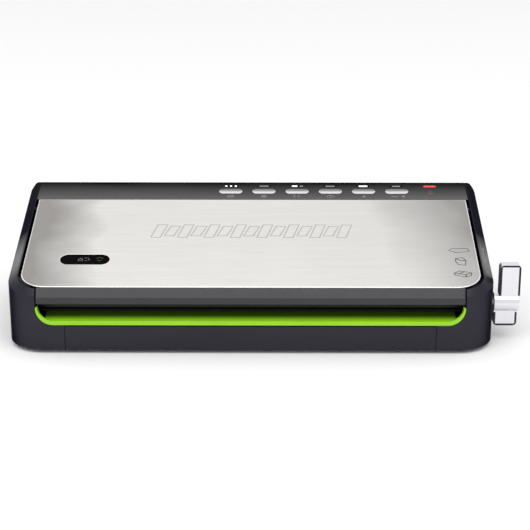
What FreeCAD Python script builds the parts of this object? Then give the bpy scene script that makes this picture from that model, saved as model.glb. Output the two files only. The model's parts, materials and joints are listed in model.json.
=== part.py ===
import FreeCAD, Part
import math
import os
import re

import Sketcher

# A counter-top vacuum sealer. +Z is up, the front faces -Y and +X is to the right. The origin is on the
# counter, under the middle of the whole machine, lever included. Two sets of directions are used:
# level ones (x, y, z), with y from the housing's front face and z from the counter, and sloped ones
# (x, u, w), in which u runs back along the sloping deck and w stands square to it. x is from the
# housing's own middle in both.

SIZES = {
    # housing
    "body_width": (420, "housing, side to side"),
    "body_depth": (184, "housing, front to back"),
    "foot_gap": (3.5, "counter to the housing's lower edge"),
    "wall": (2.5, "housing wall"),
    "corner_radius": (32, "front corners of the housing, in plan"),
    "rear_radius": (12, "rear corners of the housing, in plan"),
    "roll_radius": (9, "roll from the top to the back"),
    "lid_tilt": (15.2, "slope of the lid and the deck, in degrees"),
    "deck_height": (31.8, "height of the deck's plane at the front face"),
    "lid_height": (23.8, "deck's plane to the top of the lid"),
    "ridge_drop": (0.4, "lid's top to the ridge round it"),
    "ridge_width": (1.2, "flat ridge round the lid"),
    "groove": (2.6, "gap between the lid and the cheeks"),
    "bevel_drop": (7.4, "height of the cheeks' bevel"),
    "lip_half": (183.0, "half the width of the lid's front lip"),
    "ledge": (2.2, "ledge that carries the deck"),
    "slip": (0.3, "gap round pieces that drop into the housing"),
    "panel_drop": (16, "top of the housing's back, before its roll, down to the control panel's rear edge"),
    "bevel_reach": (100, "how far the cheeks' bevel is carried down before it is trimmed"),
    "cheek_hollow": (12, "deck's plane to the top of the cheeks' hollows"),
    "mouth_depth": (22, "front face to the back of the bag mouth"),
    "seam": (0.8, "gap between the front panel and the bag guide"),
    "panel_flange": (9, "front panel's ribs, front to back"),
    "rib_pitch": (70, "front panel's ribs, apart"),
    "post_radius": (5, "screw posts of the housing"),
    "post_front": (34, "front screw posts, from the front face"),
    "post_rear": (30, "rear screw posts, from the back face"),
    "post_top": (24, "height of the screw posts"),
    "foot_x": (30, "feet, from the housing's sides"),
    "foot_y": (26, "feet, from the housing's front and back"),
    "peg_radius": (2.5, "peg of a foot"),
    "vent_pitch": (7, "bottom cover's vents, apart"),
    "vent_width": (3, "bottom cover's vents"),
    "vent_length": (24, "bottom cover's vents"),
    "vent_y": (146, "bottom cover's vents, from the front face"),
    "cutter": (1, "how far a cutting piece runs past what it cuts"),
    "post_bite": (1, "how far a screw post runs into the wall beside it"),
    "post_roof": (2, "solid top of the screw posts"),
    "screw_roof": (4, "top of a screw post to its screw's tip"),
    "screw_recess": (0.2, "bottom screws' heads, in from the cover"),
    "clip_room": (4, "room for the shaft's clip past its web"),
    "ledge_rear": (4, "hinge axis to the rear edge of the opening under the deck"),
    "ledge_side": (1, "bearing web to the side edge of the opening under the deck"),
    "hinge_ledge": (2, "hinge axis to the front of the ledge behind it"),
    # bag slot
    "slot_half": (180, "half the width of the bag slot"),
    "guide_bottom": (25.8, "height of the bag guide's lower edge"),
    "guide_lip": (3.8, "height of the bag guide's lip"),
    "guide_rise": (15.8, "height of the guide's raised ends"),
    "guide_wall": (3.4, "thickness of the guide's raised ends"),
    "guide_radius": (15, "outer corner radius of the guide"),
    "guide_depth": (3.5, "front to back depth of the guide's lip"),
    "guide_tip": (1.2, "thickness of the guide's ends at their tips"),
    "channel_depth": (8, "front to back depth of the guide's channel"),
    "shelf_thick": (1.6, "thickness of the guide's shelf"),
    "front_half": (158.7, "half the width of the front panel"),
    # lid
    "plate_margin": (12, "housing side to the lid plate's edge"),
    "plate_start": (13.7, "front edge of the lid plate, along the slope"),
    "plate_thick": (1, "lid plate"),
    "plate_radius": (21, "front corners of the lid plate"),
    "strip_depth": (39.7, "lid's rear edge to the housing's back face"),
    "nose_reach": (9.8, "hinge axis to the lid's rear edge, along the slope"),
    "hinge_drop": (5.5, "lid's top to the hinge axis"),
    "hinge_gap": (0.5, "gap between the lid's nose and the control panel"),
    "pin_radius": (2.5, "hinge pin"),
    "run_gap": (0.05, "radial running clearance"),
    "lid_wall": (2.2, "lid shell wall"),
    "lid_post_x": (150, "lid's screw posts, from the middle"),
    "lid_post_radius": (3.5, "lid's screw posts"),
    "lid_floor": (2, "deck's plane to the lid's lower edge"),
    "inner_level": (4, "deck's plane to the lid lining's underside"),
    "inner_thick": (2, "lid lining"),
    "window_length": (43.1, "window rim, length"),
    "window_width": (15.4, "window rim, width"),
    "window_rim": (1.5, "width of the window's rim"),
    "window_x": (-145.4, "window's middle, from the middle"),
    "window_u": (55.7, "window's middle, along the slope"),
    "lip_y": (2, "front face to the lid's lip"),
    "lip_upper": (8.7, "drop of the lip's upper facet"),
    "lip_lower": (5.4, "height of the lip's lower facet"),
    "lip_root": (3, "plate's front edge to the lip's root"),
    "lip_step": (0.2, "plate's front edge to the lip's top edge"),
    "lip_return": (3, "depth of the lip's turned-in lower edge"),
    "lip_rise": (1.5, "height of the lip's turned-in lower edge"),
    "lip_foot": (2, "lid's lower edge to the lip's root"),
    "plate_lap": (0.6, "lid plate's overhang past the lid shell"),
    "pin_hold": (3, "hinge pin's seat in the cheek"),
    "pin_length": (10, "hinge pin's length in the lid"),
    "boss_width": (12, "solid ends of the lid's nose"),
    "pin_room": (0.5, "hinge pin's end to the end of its hole"),
    "lid_post_front": (61, "hinge axis to the lid's front screw posts"),
    "lid_post_rear": (16, "hinge axis to the lid's rear screw posts"),
    "lid_screw": (8, "hold of the lid screws in their posts"),
    "tip_room": (1, "room past a screw's tip"),
    "rim_proud": (0.2, "window's rim above the lid plate"),
    "lens_drop": (0.1, "window's lens below the lid plate"),
    # deck and sealing
    "deck_start": (14.6, "front edge of the deck, along the slope"),
    "deck_thick": (2.2, "deck"),
    "deck_rim": (3.5, "overlap of the deck and what carries it"),
    "strip_half": (1.6, "half the heating strip's width"),
    "strip_thick": (0.2, "heating strip"),
    "pad_half": (4, "half the pressure pad's width"),
    "pad_drop": (1.6, "deck's plane to the pressure pad"),
    "bar_u": (28, "middle of the seal bar, along the slope"),
    "bar_width": (9.4, "seal bar, front to back"),
    "bar_half": (165.5, "half the seal bar's length"),
    "bar_height": (6, "seal bar below the deck's plane"),
    "bar_proud": (0.6, "seal bar above the deck's plane"),
    "tape_thick": (0.2, "release tape"),
    "tape_inset": (0.5, "release tape, in from the bar's edges"),
    "terminal_inset": (2, "bar's end to its terminal"),
    "terminal_size": (6, "bar's terminals, length and height"),
    "hook_slot": (1, "side gap between a hook and its slot in the deck"),
    "hook_sweep_gap": (2, "front and rear gap round the hooks' slots"),
    "deck_inset": (1, "how much smaller the deck's corner radius is"),
    "tray_u": (54, "middle of the drip tray, along the slope"),
    "tray_half": (149.5, "half the drip tray's length"),
    "tray_width": (15.4, "drip tray, front to back"),
    "tray_drop": (11, "depth of the drip tray"),
    "tray_wall": (1.2, "drip tray wall"),
    "ring_half": (168, "half the length of the gasket ring"),
    "ring_width": (30.4, "gasket ring, front to back"),
    "ring_band": (6, "width of the gasket's band"),
    "ring_seat": (1.2, "depth of the gaskets' seats"),
    "ring_top": (3, "lower gasket above the deck's plane"),
    # lever and latch
    "lever_reach": (24.3, "housing side to the lever's outer face"),
    "lever_gap": (1.7, "housing side to the lever's hub"),
    "lever_inset": (6, "housing side to the lever's arm"),
    "lever_y": (38, "lever axis, from the front face"),
    "lever_z": (34.3, "height of the lever axis"),
    "lever_up": (35.1, "lever axis to the end of the arm"),
    "lever_down": (20.6, "lever axis to the end of the tail"),
    "lever_thick": (10, "arm of the lever, front to back"),
    "lever_step": (2, "lever's tail, in from the arm's outer face"),
    "lever_round": (3.5, "corners of the lever"),
    "hub_radius": (8.3, "lever hub"),
    "shaft_radius": (3, "latch shaft"),
    "web_x": (196, "latch shaft's bearing webs, from the middle"),
    "web_thick": (3, "bearing webs"),
    "web_half": (6.5, "half the bearing webs' width"),
    "bush_radius": (4.5, "shaft bush"),
    "bush_lip": (0.6, "how far a bush stands out of its web"),
    "hook_start": (95, "start of the hooks' sector, in degrees"),
    "hook_sweep": (60, "the hooks' sector, in degrees"),
    "hook_hub": (5.2, "hub of the hooks and the cam"),
    "toe_gap": (1, "hook hub to the catch's toe"),
    "toe_top": (3.5, "deck's plane down to the catch's toe"),
    "toe_height": (4, "catch's toe"),
    "toe_length": (4, "catch's toe"),
    "leg_thick": (2.5, "catch's leg"),
    "cam_x": (175, "inner face of the switch cam, from the middle"),
    "cam_thick": (4, "switch cam"),
    "hook_x": (187, "inner face of the hooks, from the middle"),
    "hook_thick": (5, "hooks"),
    "hook_radius": (8, "hooks' reach from the shaft axis"),
    "shaft_past": (3, "latch shaft's end past its last web"),
    "shaft_short": (8, "lever's outer face to the shaft's end"),
    "clip_gap": (1.2, "last web to the retaining clip"),
    "clip_thick": (1, "retaining clip"),
    "switch_side": (5, "latch switch past the cam on each side"),
    "switch_half": (9, "half the latch switch, front to back"),
    "switch_gap": (6, "cam to the latch switch"),
    # buttons
    "button_first": (-20.4, "first button, from the middle"),
    "button_pitch": (31.1, "button to button"),
    "button_u": (14.9, "lid's rear edge to the row of buttons"),
    "button_length": (22, "button, length"),
    "button_width": (7.8, "button, front to back"),
    "button_proud": (0.9, "button above the panel"),
    "button_travel": (1.2, "button travel"),
    "lamp_u": (24.9, "lid's rear edge to the row of lamps"),
    "panel_thick": (2.2, "control panel"),
    "board_w": (8, "deck's plane to the control board"),
    "board_thick": (1.6, "circuit boards"),
    "board_left": (-45, "control board's left end"),
    "board_right": (185, "control board's right end"),
    "board_width": (22, "control board, front to back"),
    "key_height": (2.4, "key switches"),
    "lamp_length": (12, "status lens"),
    "lamp_width": (2.2, "status lens"),
    "alert_x": (166.7, "alert lens, from the middle"),
    "skirt_start": (4.3, "hinge axis to the panel's front skirt"),
    "panel_post_u": (8, "lid's rear edge to the board's posts"),
    "board_u": (5, "lid's rear edge to the control board"),
    "key_half": (3, "half a key switch"),
    "button_stem": (2, "button stem"),
    "flange_edge": (1, "button's flange past its cap"),
    "flange_thick": (1.5, "button's flange"),
    "stem_gap": (0.2, "pressed button's stem to its key switch"),
    "alert_width": (3.1, "alert lens, front to back"),
    "panel_post_radius": (3, "posts for the control board"),
    "panel_screw": (6, "hold of the panel screws in their posts"),
    "skirt_relief": (1, "control board to the hollow in front of it"),
    # pump, power
    "pump_x": (-170, "middle of the pump head"),
    "pump_y": (112, "pump axis, from the front face"),
    "pump_z": (32, "height of the pump axis"),
    "head_size": (34, "pump head, square"),
    "motor_radius": (14, "pump motor"),
    "motor_length": (42, "pump motor"),
    "crank_radius": (9, "pump crank"),
    "hose_radius": (3, "vacuum hose"),
    "hose_bore": (1.8, "vacuum hose bore"),
    "port_x": (-156, "vacuum port, from the middle"),
    "core_length": (58, "transformer core"),
    "core_height": (48, "transformer core"),
    "core_depth": (30, "transformer core"),
    "core_x": (110, "middle of the transformer"),
    "gland_x": (-110, "cord gland, from the middle"),
    "gland_z": (18, "height of the cord gland"),
    "gland_radius": (6, "cord gland"),
    "cord_bore": (3.5, "cord gland's bore"),
    "gland_length": (12, "cord gland, end to end"),
    "gland_flange": (2, "flange inside the cord gland, reach and thickness"),
    "spigot_length": (6, "pump's spigot"),
    "crank_shaft": (1.6, "crank shaft and pin"),
    "crank_throw": (5, "crank pin's offset"),
    "mount_radius": (4, "pump's rubber mounts"),
    "spigot_drop": (8, "pump axis down to its spigot"),
    "crank_room": (3, "radial room round the crank in the head"),
    "disc_gap": (6, "pump head's face to the crank disc"),
    "disc_thick": (4, "crank disc"),
    "crank_pin": (5, "length of the crank pin"),
    "shaft_rest": (3, "motor's end to the end of the crank shaft"),
    "saddle_start": (24, "motor's end to the front of its saddle"),
    "saddle_end": (8, "motor's end to the back of its saddle"),
    "saddle_half": (8, "half the motor saddle, front to back"),
    "saddle_rise": (3, "motor's lowest line to the top of its saddle"),
    "port_half": (5.5, "half the vacuum port's block"),
    "port_drop": (12, "vacuum port below the deck's plane"),
    "vent_gap": (9, "vacuum port to the release valve"),
    "valve_size": (16, "release valve"),
    "vent_drop": (7, "deck's plane down to the vent's axis"),
    "valve_drop": (4, "deck's plane down to the release valve"),
    "plunger_proud": (3, "valve plunger below the valve"),
    "plunger_hold": (10, "valve plunger inside the valve"),
    "plunger_radius": (3, "valve plunger"),
    "hose_drop": (13, "hose's straight ends"),
    "core_y": (116, "transformer core, from the front face"),
    "coil_proud": (6, "winding past the core's faces"),
    "core_window": (13.5, "width of the core's windows"),
    "coil_gap": (0.1, "core's middle leg to the winding"),
    "board_half": (60, "half the power board"),
    "board_front": (105, "power board's front edge"),
    "board_rear": (160, "power board's rear edge"),
    "board_inset": (4, "board screws from its edges"),
    "board_level": (12, "height of the power board"),
    "capacitor_radius": (8, "smoothing capacitor"),
    "capacitor_height": (24, "smoothing capacitor"),
    "board_screw": (4, "hold of the board screws in their posts"),
    "relay_front": (12, "board's front edge to the relay"),
    "relay_width": (16, "relay, front to back"),
    "relay_x": (10, "relay's left end"),
    "relay_length": (20, "relay"),
    "relay_height": (15, "relay"),
    "cover_thick": (2.5, "bottom cover"),
    "foot_radius": (8, "rubber foot"),
    "screw_radius": (1.5, "screw shank"),
    "head_radius": (3, "screw head"),
    "head_thick": (1.6, "screw head"),
}

NEAR = 0.01  # two points closer than this are the same

BUTTONS = ("vacuum_seal_button", "seal_only_button", "pulse_button", "moist_food_button",
           "accessory_button", "cancel_button")

doc = FreeCAD.newDocument("vacuum_sealer")
sheet = doc.addObject("Spreadsheet::Sheet", "Sizes")
nodes = {}


def fill_sheet():
    for row, (alias, (value, note)) in enumerate(SIZES.items(), start=1):
        sheet.set(f"A{row}", alias)
        sheet.set(f"B{row}", str(value))
        sheet.set(f"C{row}", note)
        sheet.setAlias(f"B{row}", alias)
    doc.recompute()


# ---- formulas -----------------------------------------------------------------------------------------

def formula(text):
    """Put the sheet's name before each alias in a formula."""
    return re.sub(r"[a-z_]+", lambda word: "Sizes." + word.group() if word.group() in SIZES else word.group(),
                  str(text))


def y_at(u, w):
    """Level distance from the front face of a point given along and square to the slope."""
    return f"(({u})*cos(lid_tilt) - ({w})*sin(lid_tilt))"


def z_at(u, w):
    """Height of a point given along and square to the slope."""
    return f"(deck_height + ({u})*sin(lid_tilt) + ({w})*cos(lid_tilt))"


def u_on(y, w):
    """Distance along the slope of the point at a level distance y and a height w above the deck."""
    return f"((({y}) + ({w})*sin(lid_tilt))/cos(lid_tilt))"


PLATE_HALF = "(body_width/2 - plate_margin)"
BAY_HALF = "(body_width/2 - plate_margin + groove)"
PLATE_END = u_on("body_depth - strip_depth", "lid_height")
HINGE_U = f"({PLATE_END} - nose_reach)"
HINGE_W = "(lid_height - hinge_drop)"
NOSE = "sqrt(nose_reach^2 + hinge_drop^2)"
LEDGE_W = "(-deck_thick - ledge)"
RIDGE_W = "(lid_height - ridge_drop)"
BEVEL_WIDTH = "(plate_margin - groove - ridge_width)"
LEVER_U = "(lever_y*cos(lid_tilt) + (lever_z - deck_height)*sin(lid_tilt))"
LEVER_W = "((lever_z - deck_height)*cos(lid_tilt) - lever_y*sin(lid_tilt))"
BUTTON_U = f"({PLATE_END} + button_u)"
LAMP_U = f"({PLATE_END} + lamp_u)"
COVER_TOP = "(foot_gap + cover_thick)"
PANEL_EDGE = f"({z_at(u_on('body_depth', RIDGE_W), RIDGE_W)} - panel_drop)"


def placement(x, y, z, axis="1; 0; 0", angle="0"):
    return formula(f"placement(vector(-lever_reach/2 + {x}; -body_depth/2 + {y}; {z}); "
                   f"rotation(vector({axis}); {angle}))")


def put_level(item, x, y, z):
    item.setExpression("Placement", placement(x, y, z))
    return item


def put_sloped(item, x, u, w):
    item.setExpression("Placement", placement(x, y_at(u, w), z_at(u, w), angle="lid_tilt"))
    return item


# ---- building blocks ----------------------------------------------------------------------------------

def set_sizes(item, **sizes):
    for name, text in sizes.items():
        item.setExpression(name, formula(text))
    return item


def block(xs, ys, zs, sloped=False):
    """A box between two values along each direction."""
    item = doc.addObject("Part::Box", "Block")
    set_sizes(item, Length=f"({xs[1]}) - ({xs[0]})", Width=f"({ys[1]}) - ({ys[0]})",
              Height=f"({zs[1]}) - ({zs[0]})")
    put = put_sloped if sloped else put_level
    return put(item, xs[0], ys[0], zs[0])


def slab(half, us, ws):
    """A sloped box, centred side to side."""
    return block((f"-({half})", f"({half})"), us, ws, sloped=True)


def sides(side, near, far):
    """The two x values of a piece on the left (-1) or right (1), in rising order."""
    return (f"({near})", f"({far})") if side > 0 else (f"-({far})", f"-({near})")


def rod_across(radius, xs, y, z):
    """A cylinder along X."""
    item = doc.addObject("Part::Cylinder", "Rod")
    set_sizes(item, Radius=radius, Height=f"({xs[1]}) - ({xs[0]})")
    item.setExpression("Placement", placement(xs[0], y, z, "0; 1; 0", "90"))
    return item


def rod_up(radius, x, y, zs, sloped=False):
    """A cylinder that stands up, or square to the slope."""
    item = doc.addObject("Part::Cylinder", "Post")
    set_sizes(item, Radius=radius, Height=f"({zs[1]}) - ({zs[0]})")
    put = put_sloped if sloped else put_level
    return put(item, x, y, zs[0])


def rod_back(radius, x, ys, z):
    """A cylinder along Y."""
    item = doc.addObject("Part::Cylinder", "Rod")
    set_sizes(item, Radius=radius, Height=f"({ys[1]}) - ({ys[0]})")
    item.setExpression("Placement", placement(x, ys[0], z, "1; 0; 0", "-90"))
    return item


def rod_along(radius, x, us, w):
    """A cylinder that runs back along the slope."""
    item = doc.addObject("Part::Cylinder", "Rod")
    set_sizes(item, Radius=radius, Height=f"({us[1]}) - ({us[0]})")
    item.setExpression("Placement", placement(x, y_at(us[0], w), z_at(us[0], w), "1; 0; 0", "lid_tilt - 90"))
    return item


def fuse(*items):
    item = doc.addObject("Part::MultiFuse", "Union")
    item.Shapes = list(items)
    item.Refine = True
    return item


def common(first, *others):
    """What several items have in common, taken two at a time."""
    for other in others:
        item = doc.addObject("Part::Common", "Overlap")
        item.Base = first
        item.Tool = other
        first = item
    return first


def cut(base, *tools):
    item = doc.addObject("Part::Cut", "Difference")
    item.Base = base
    item.Tool = tools[0] if len(tools) == 1 else fuse(*tools)
    return item


def group(*items):
    """Separate solids of one kind."""
    item = doc.addObject("Part::Compound", "Group")
    item.Links = list(items)
    return item


def sheet_value(text):
    """The number that a formula gives now."""
    return float(FreeCAD.Units.Quantity(sheet.evalExpression(formula(text))).Value)


def new_sketch(plane):
    body = doc.addObject("PartDesign::Body", "Body")
    sketch = body.newObject("Sketcher::SketchObject", "Outline")
    support = next(item for item in body.Origin.OriginFeatures if item.Role == plane)
    sketch.AttachmentSupport = [(support, "")]
    sketch.MapMode = "FlatFace"
    return body, sketch


def bind(sketch, kind, where, text):
    """Add a constraint whose value is a formula."""
    number = sketch.addConstraint(Sketcher.Constraint(kind, *where, sheet_value(text)))
    sketch.setExpression(f"Constraints[{number}]", formula(text))


def outline(points, plane):
    """A body and a closed sketch of straight lines whose corners are bound to formulas."""
    body, sketch = new_sketch(plane)
    corners = [FreeCAD.Vector(sheet_value(a), sheet_value(b), 0) for a, b in points]
    count = len(points)
    for i in range(count):
        sketch.addGeometry(Part.LineSegment(corners[i], corners[(i + 1) % count]), False)
    for i in range(count):
        sketch.addConstraint(Sketcher.Constraint("Coincident", i, 2, (i + 1) % count, 1))
    for i, (across, up) in enumerate(points):
        bind(sketch, "DistanceX", (-1, 1, i, 1), across)
        bind(sketch, "DistanceY", (-1, 1, i, 1), up)
    return body, sketch


def rounded_outline(half, depth, radius, plane):
    """A body and a sketch of a centred rectangle that starts on the axis, its first two corners rounded."""
    body, sketch = new_sketch(plane)
    wide, deep, bend = sheet_value(half), sheet_value(depth), sheet_value(radius)
    vector = FreeCAD.Vector
    up = vector(0, 0, 1)
    right = Part.Circle(vector(wide - bend, bend, 0), up, bend)
    left = Part.Circle(vector(bend - wide, bend, 0), up, bend)
    sketch.addGeometry([
        Part.LineSegment(vector(bend - wide, 0, 0), vector(wide - bend, 0, 0)),
        Part.ArcOfCircle(right, -math.pi / 2, 0),
        Part.LineSegment(vector(wide, bend, 0), vector(wide, deep, 0)),
        Part.LineSegment(vector(wide, deep, 0), vector(-wide, deep, 0)),
        Part.LineSegment(vector(-wide, deep, 0), vector(-wide, bend, 0)),
        Part.ArcOfCircle(left, math.pi, 3 * math.pi / 2),
    ], False)
    sketch.addConstraint([
        Sketcher.Constraint("Tangent", 0, 2, 1, 1),
        Sketcher.Constraint("Tangent", 1, 2, 2, 1),
        Sketcher.Constraint("Coincident", 2, 2, 3, 1),
        Sketcher.Constraint("Coincident", 3, 2, 4, 1),
        Sketcher.Constraint("Tangent", 4, 2, 5, 1),
        Sketcher.Constraint("Tangent", 5, 2, 0, 1),
        Sketcher.Constraint("Horizontal", 0),
        Sketcher.Constraint("Horizontal", 3),
        Sketcher.Constraint("Vertical", 2),
        Sketcher.Constraint("Vertical", 4),
        Sketcher.Constraint("Equal", 1, 5),
        Sketcher.Constraint("PointOnObject", 0, 1, -1),
    ])
    bind(sketch, "Radius", (1,), radius)
    bind(sketch, "DistanceX", (-1, 1, 2, 2), half)
    bind(sketch, "DistanceX", (-1, 1, 4, 1), f"-({half})")
    bind(sketch, "DistanceY", (-1, 1, 2, 2), depth)
    return body, sketch


def pad(body, sketch, length, back=False):
    feature = body.newObject("PartDesign::Pad", "Pad")
    feature.Profile = sketch
    feature.Reversed = back
    set_sizes(feature, Length=length)
    doc.recompute()


def round_edges(body, choose, radius):
    """Fillet the edges of a body that choose picks by their two ends."""
    base = body.Tip
    names = [f"Edge{i}" for i, edge in enumerate(base.Shape.Edges, start=1)
             if choose(edge.Vertexes[0].Point, edge.Vertexes[-1].Point)]
    feature = body.newObject("PartDesign::Fillet", "Round")
    feature.Base = (base, names)
    set_sizes(feature, Radius=radius)
    doc.recompute()


def rounded(half, us, ws, radius, sloped=True):
    """A plate, centred side to side, with its two front corners rounded."""
    body, sketch = rounded_outline(half, f"({us[1]}) - ({us[0]})", radius, "XY_Plane")
    pad(body, sketch, f"({ws[1]}) - ({ws[0]})")
    put = put_sloped if sloped else put_level
    return put(body, "0", us[0], ws[0])


def cradle(half, ys, zs, radius):
    """A level box, centred side to side, with its two lower corners rounded as seen from the front."""
    body, sketch = rounded_outline(half, f"({zs[1]}) - ({zs[0]})", radius, "XZ_Plane")
    pad(body, sketch, f"({ys[1]}) - ({ys[0]})", back=True)
    return put_level(body, "0", ys[0], zs[0])


def profile(xs, points, sloped=False):
    """An outline in (y, z), or in (u, w), run along X between two values."""
    body, sketch = outline(points, "YZ_Plane")
    pad(body, sketch, f"({xs[1]}) - ({xs[0]})")
    put = put_sloped if sloped else put_level
    return put(body, xs[0], "0", "0")


def span(half):
    """The two x values of a centred piece."""
    return f"-({half})", f"({half})"


def pill(x, u, length, width, ws):
    """A flat piece with round ends, square to the slope."""
    radius = f"({width})/2"
    reach = f"(({length}) - ({width}))/2"
    return fuse(block((f"{x} - {reach}", f"{x} + {reach}"), (f"{u} - {radius}", f"{u} + {radius}"), ws, True),
                rod_up(radius, f"{x} - {reach}", u, ws, True),
                rod_up(radius, f"{x} + {reach}", u, ws, True))


def ring(half, u, width, band, ws):
    """A flat oblong ring round a point, with full-round ends."""
    inner_length = f"2*({half}) - 2*({band})"
    return cut(pill("0", u, f"2*({half})", width, ws),
               pill("0", u, inner_length, f"({width}) - 2*({band})",
                    (f"{ws[0]} - cutter", f"{ws[1]} + cutter")))


def screw(x, y, zs, sloped=False):
    """A screw with its head at the first end of zs and its shank running to the second."""
    neck = f"({zs[0]}) + head_thick"
    return fuse(rod_up("head_radius", x, y, (zs[0], neck), sloped),
                rod_up("screw_radius", x, y, (neck, zs[1]), sloped))


def node(name, item):
    """Name a finished sub-part; the name is also its file's."""
    item.Label = name
    nodes[name] = item
    return item


# ---- housing ------------------------------------------------------------------------------------------

def side_outline(half, inset, bottom, front):
    """The housing's side outline, moved in by a wall, with its roll at the top of the back."""
    level = f"({RIDGE_W} - ({inset}))"
    rear = f"(body_depth - ({inset}))"
    corner_z, front_z = z_at(u_on(rear, level), level), z_at(u_on(front, level), level)
    points = [(front, bottom), (rear, bottom), (rear, corner_z), (front, front_z)]
    body, sketch = outline(points, "YZ_Plane")
    pad(body, sketch, f"2*({half})")
    roll_y, roll_z = sheet_value(rear), sheet_value(corner_z)

    def is_roll(a, b):
        return all(abs(end.y - roll_y) < NEAR and abs(end.z - roll_z) < NEAR for end in (a, b))

    round_edges(body, is_roll, f"roll_radius - ({inset})")
    return put_level(body, f"-({half})", "0", "0")


def plan_outline(inset, zs):
    """The housing's plan outline, moved in by a wall."""
    half = f"(body_width/2 - ({inset}))"
    depth = f"body_depth - 2*({inset})"
    body, sketch = rounded_outline(half, depth, f"corner_radius - ({inset})", "XY_Plane")
    pad(body, sketch, f"({zs[1]}) - ({zs[0]})")
    rear_y = sheet_value(depth)

    def is_rear(a, b):
        return all(abs(end.y - rear_y) < NEAR for end in (a, b)) and abs(a.z - b.z) > NEAR

    round_edges(body, is_rear, f"rear_radius - ({inset})")
    return put_level(body, "0", inset, zs[0])


def bevel_form():
    """All that lies under the ridge, inside the bevel that falls away from it at the sides and in front."""
    ridge, fall = "(groove + ridge_width)", f"({BEVEL_WIDTH}/bevel_drop)"
    below, above = f"{fall}*bevel_reach", f"{fall}*cutter"
    low, high = f"({RIDGE_W} - bevel_reach)", f"({RIDGE_W} + cutter)"
    height = "(bevel_reach + cutter)"
    start, side, radius = f"(plate_start - {ridge})", f"({PLATE_HALF} + {ridge})", f"(plate_radius + {ridge})"
    corner_x, corner_u = f"({side} - {radius})", f"({start} + {radius})"
    cheeks, sketch = outline([(f"-{side} - {below}", "0"), (f"{side} + {below}", "0"),
                              (f"{side} - {above}", height), (f"-{side} + {above}", height)], "XZ_Plane")
    pad(cheeks, sketch, "2*body_depth", back=True)
    front = profile(span(corner_x), [(f"{start} - {below}", low), (corner_u, low), (corner_u, high),
                                     (f"{start} + {above}", high)], sloped=True)
    corners = []
    for x in (f"-{corner_x}", corner_x):
        cone = doc.addObject("Part::Cone", "Corner")
        set_sizes(cone, Radius1=f"{radius} + {below}", Radius2=f"{radius} - {above}", Height=height)
        corners.append(put_sloped(cone, x, corner_u, low))
    return fuse(put_sloped(cheeks, "0", corner_u, low), front, *corners)


def outer_form():
    """The housing's outside: where its plan outline, its side outline and the bevel meet."""
    return common(plan_outline("0", ("foot_gap", "foot_gap + 2*bevel_reach")),
                  side_outline("body_width/2", "0", "foot_gap", "0"), bevel_form())


def shaft_webs():
    """Two webs that hang from the ledge and carry the latch shaft."""
    us = (f"{LEVER_U} - web_half", f"{LEVER_U} + web_half")
    ws = (f"{LEVER_W} - web_half", f"{LEDGE_W} + ledge")
    return [block(sides(side, "web_x", "web_x + web_thick"), us, ws, sloped=True) for side in (-1, 1)]


def cover_posts():
    """Where the bottom cover's screws go: side and distance from the front."""
    return [(side, y) for side in ("-1", "1") for y in ("post_front", "body_depth - post_rear")]


def post_x(side):
    return f"{side}*(body_width/2 - wall - post_radius + post_bite)"


def make_base_shell():
    bay = rounded(BAY_HALF, ("plate_start - groove", PLATE_END), ("-deck_thick", "2*bevel_reach"),
                  "plate_radius + groove")
    below_deck = common(plan_outline("wall", ("0", "2*bevel_reach")),
                        block(("-body_width", "body_width"), ("-bevel_reach", "2*body_depth"),
                              ("-2*bevel_reach", LEDGE_W), sloped=True))
    hinge_y = y_at(f"{HINGE_U} - hinge_ledge", "-deck_thick")
    hinge_z = z_at(f"{HINGE_U} - hinge_ledge", LEDGE_W)
    rear_bay = block((f"-{BAY_HALF}", BAY_HALF), (hinge_y, "body_depth - wall"), (hinge_z, "4*bevel_reach"))
    panel_seat = block((f"-{BAY_HALF}", BAY_HALF), ("body_depth - rear_radius - wall", "body_depth + cutter"),
                       (PANEL_EDGE, "4*bevel_reach"))
    mouth = cradle("slot_half + guide_wall + slip/2", ("-cutter", "mouth_depth"),
                   ("guide_bottom - slip/2", "4*bevel_reach"), "guide_radius + slip/2")
    panel_gap = block(("-front_half - slip/2", "front_half + slip/2"), ("-cutter", "wall + slip"),
                      ("foot_gap - cutter", "guide_bottom"))
    under_ledge = f"{LEDGE_W} - cutter"
    window = slab("web_x - ledge_side", ("deck_start + deck_rim", f"{HINGE_U} - ledge_rear"),
                  (under_ledge, "0"))
    hollows = [block(sides(side, f"{BAY_HALF} + wall", "body_width/2 - wall"),
                     ("plate_start + corner_radius", PLATE_END), (under_ledge, "cheek_hollow"),
                     sloped=True) for side in (-1, 1)]
    clip_space = block(sides(-1, "web_x + web_thick", "web_x + web_thick + clip_room"),
                       (f"{LEVER_U} - web_half", f"{LEVER_U} + web_half"), (under_ledge, "0"), sloped=True)
    shell = cut(outer_form(), bay, below_deck, rear_bay, panel_seat, mouth, panel_gap, window, clip_space,
                *hollows)
    posts = [rod_up("post_radius", post_x(side), y, ("foot_gap + cover_thick", "post_top"))
             for side, y in cover_posts()]
    pilots = [rod_up("screw_radius", post_x(side), y, ("0", "post_top - post_roof"))
              for side, y in cover_posts()]
    bores = [rod_across("bush_radius", ("-web_x - web_thick - cutter", "body_width/2 + cutter"),
                        "lever_y", "lever_z"),
             rod_back("gland_radius", "gland_x", ("body_depth - wall - cutter", "body_depth + cutter"),
                      "gland_z")]
    bores += [rod_across("pin_radius", sides(side, PLATE_HALF, f"{BAY_HALF} + pin_hold"),
                         y_at(HINGE_U, HINGE_W), z_at(HINGE_U, HINGE_W)) for side in (-1, 1)]
    node("base_shell", cut(fuse(shell, *posts, *shaft_webs()), *pilots, *bores))


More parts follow.
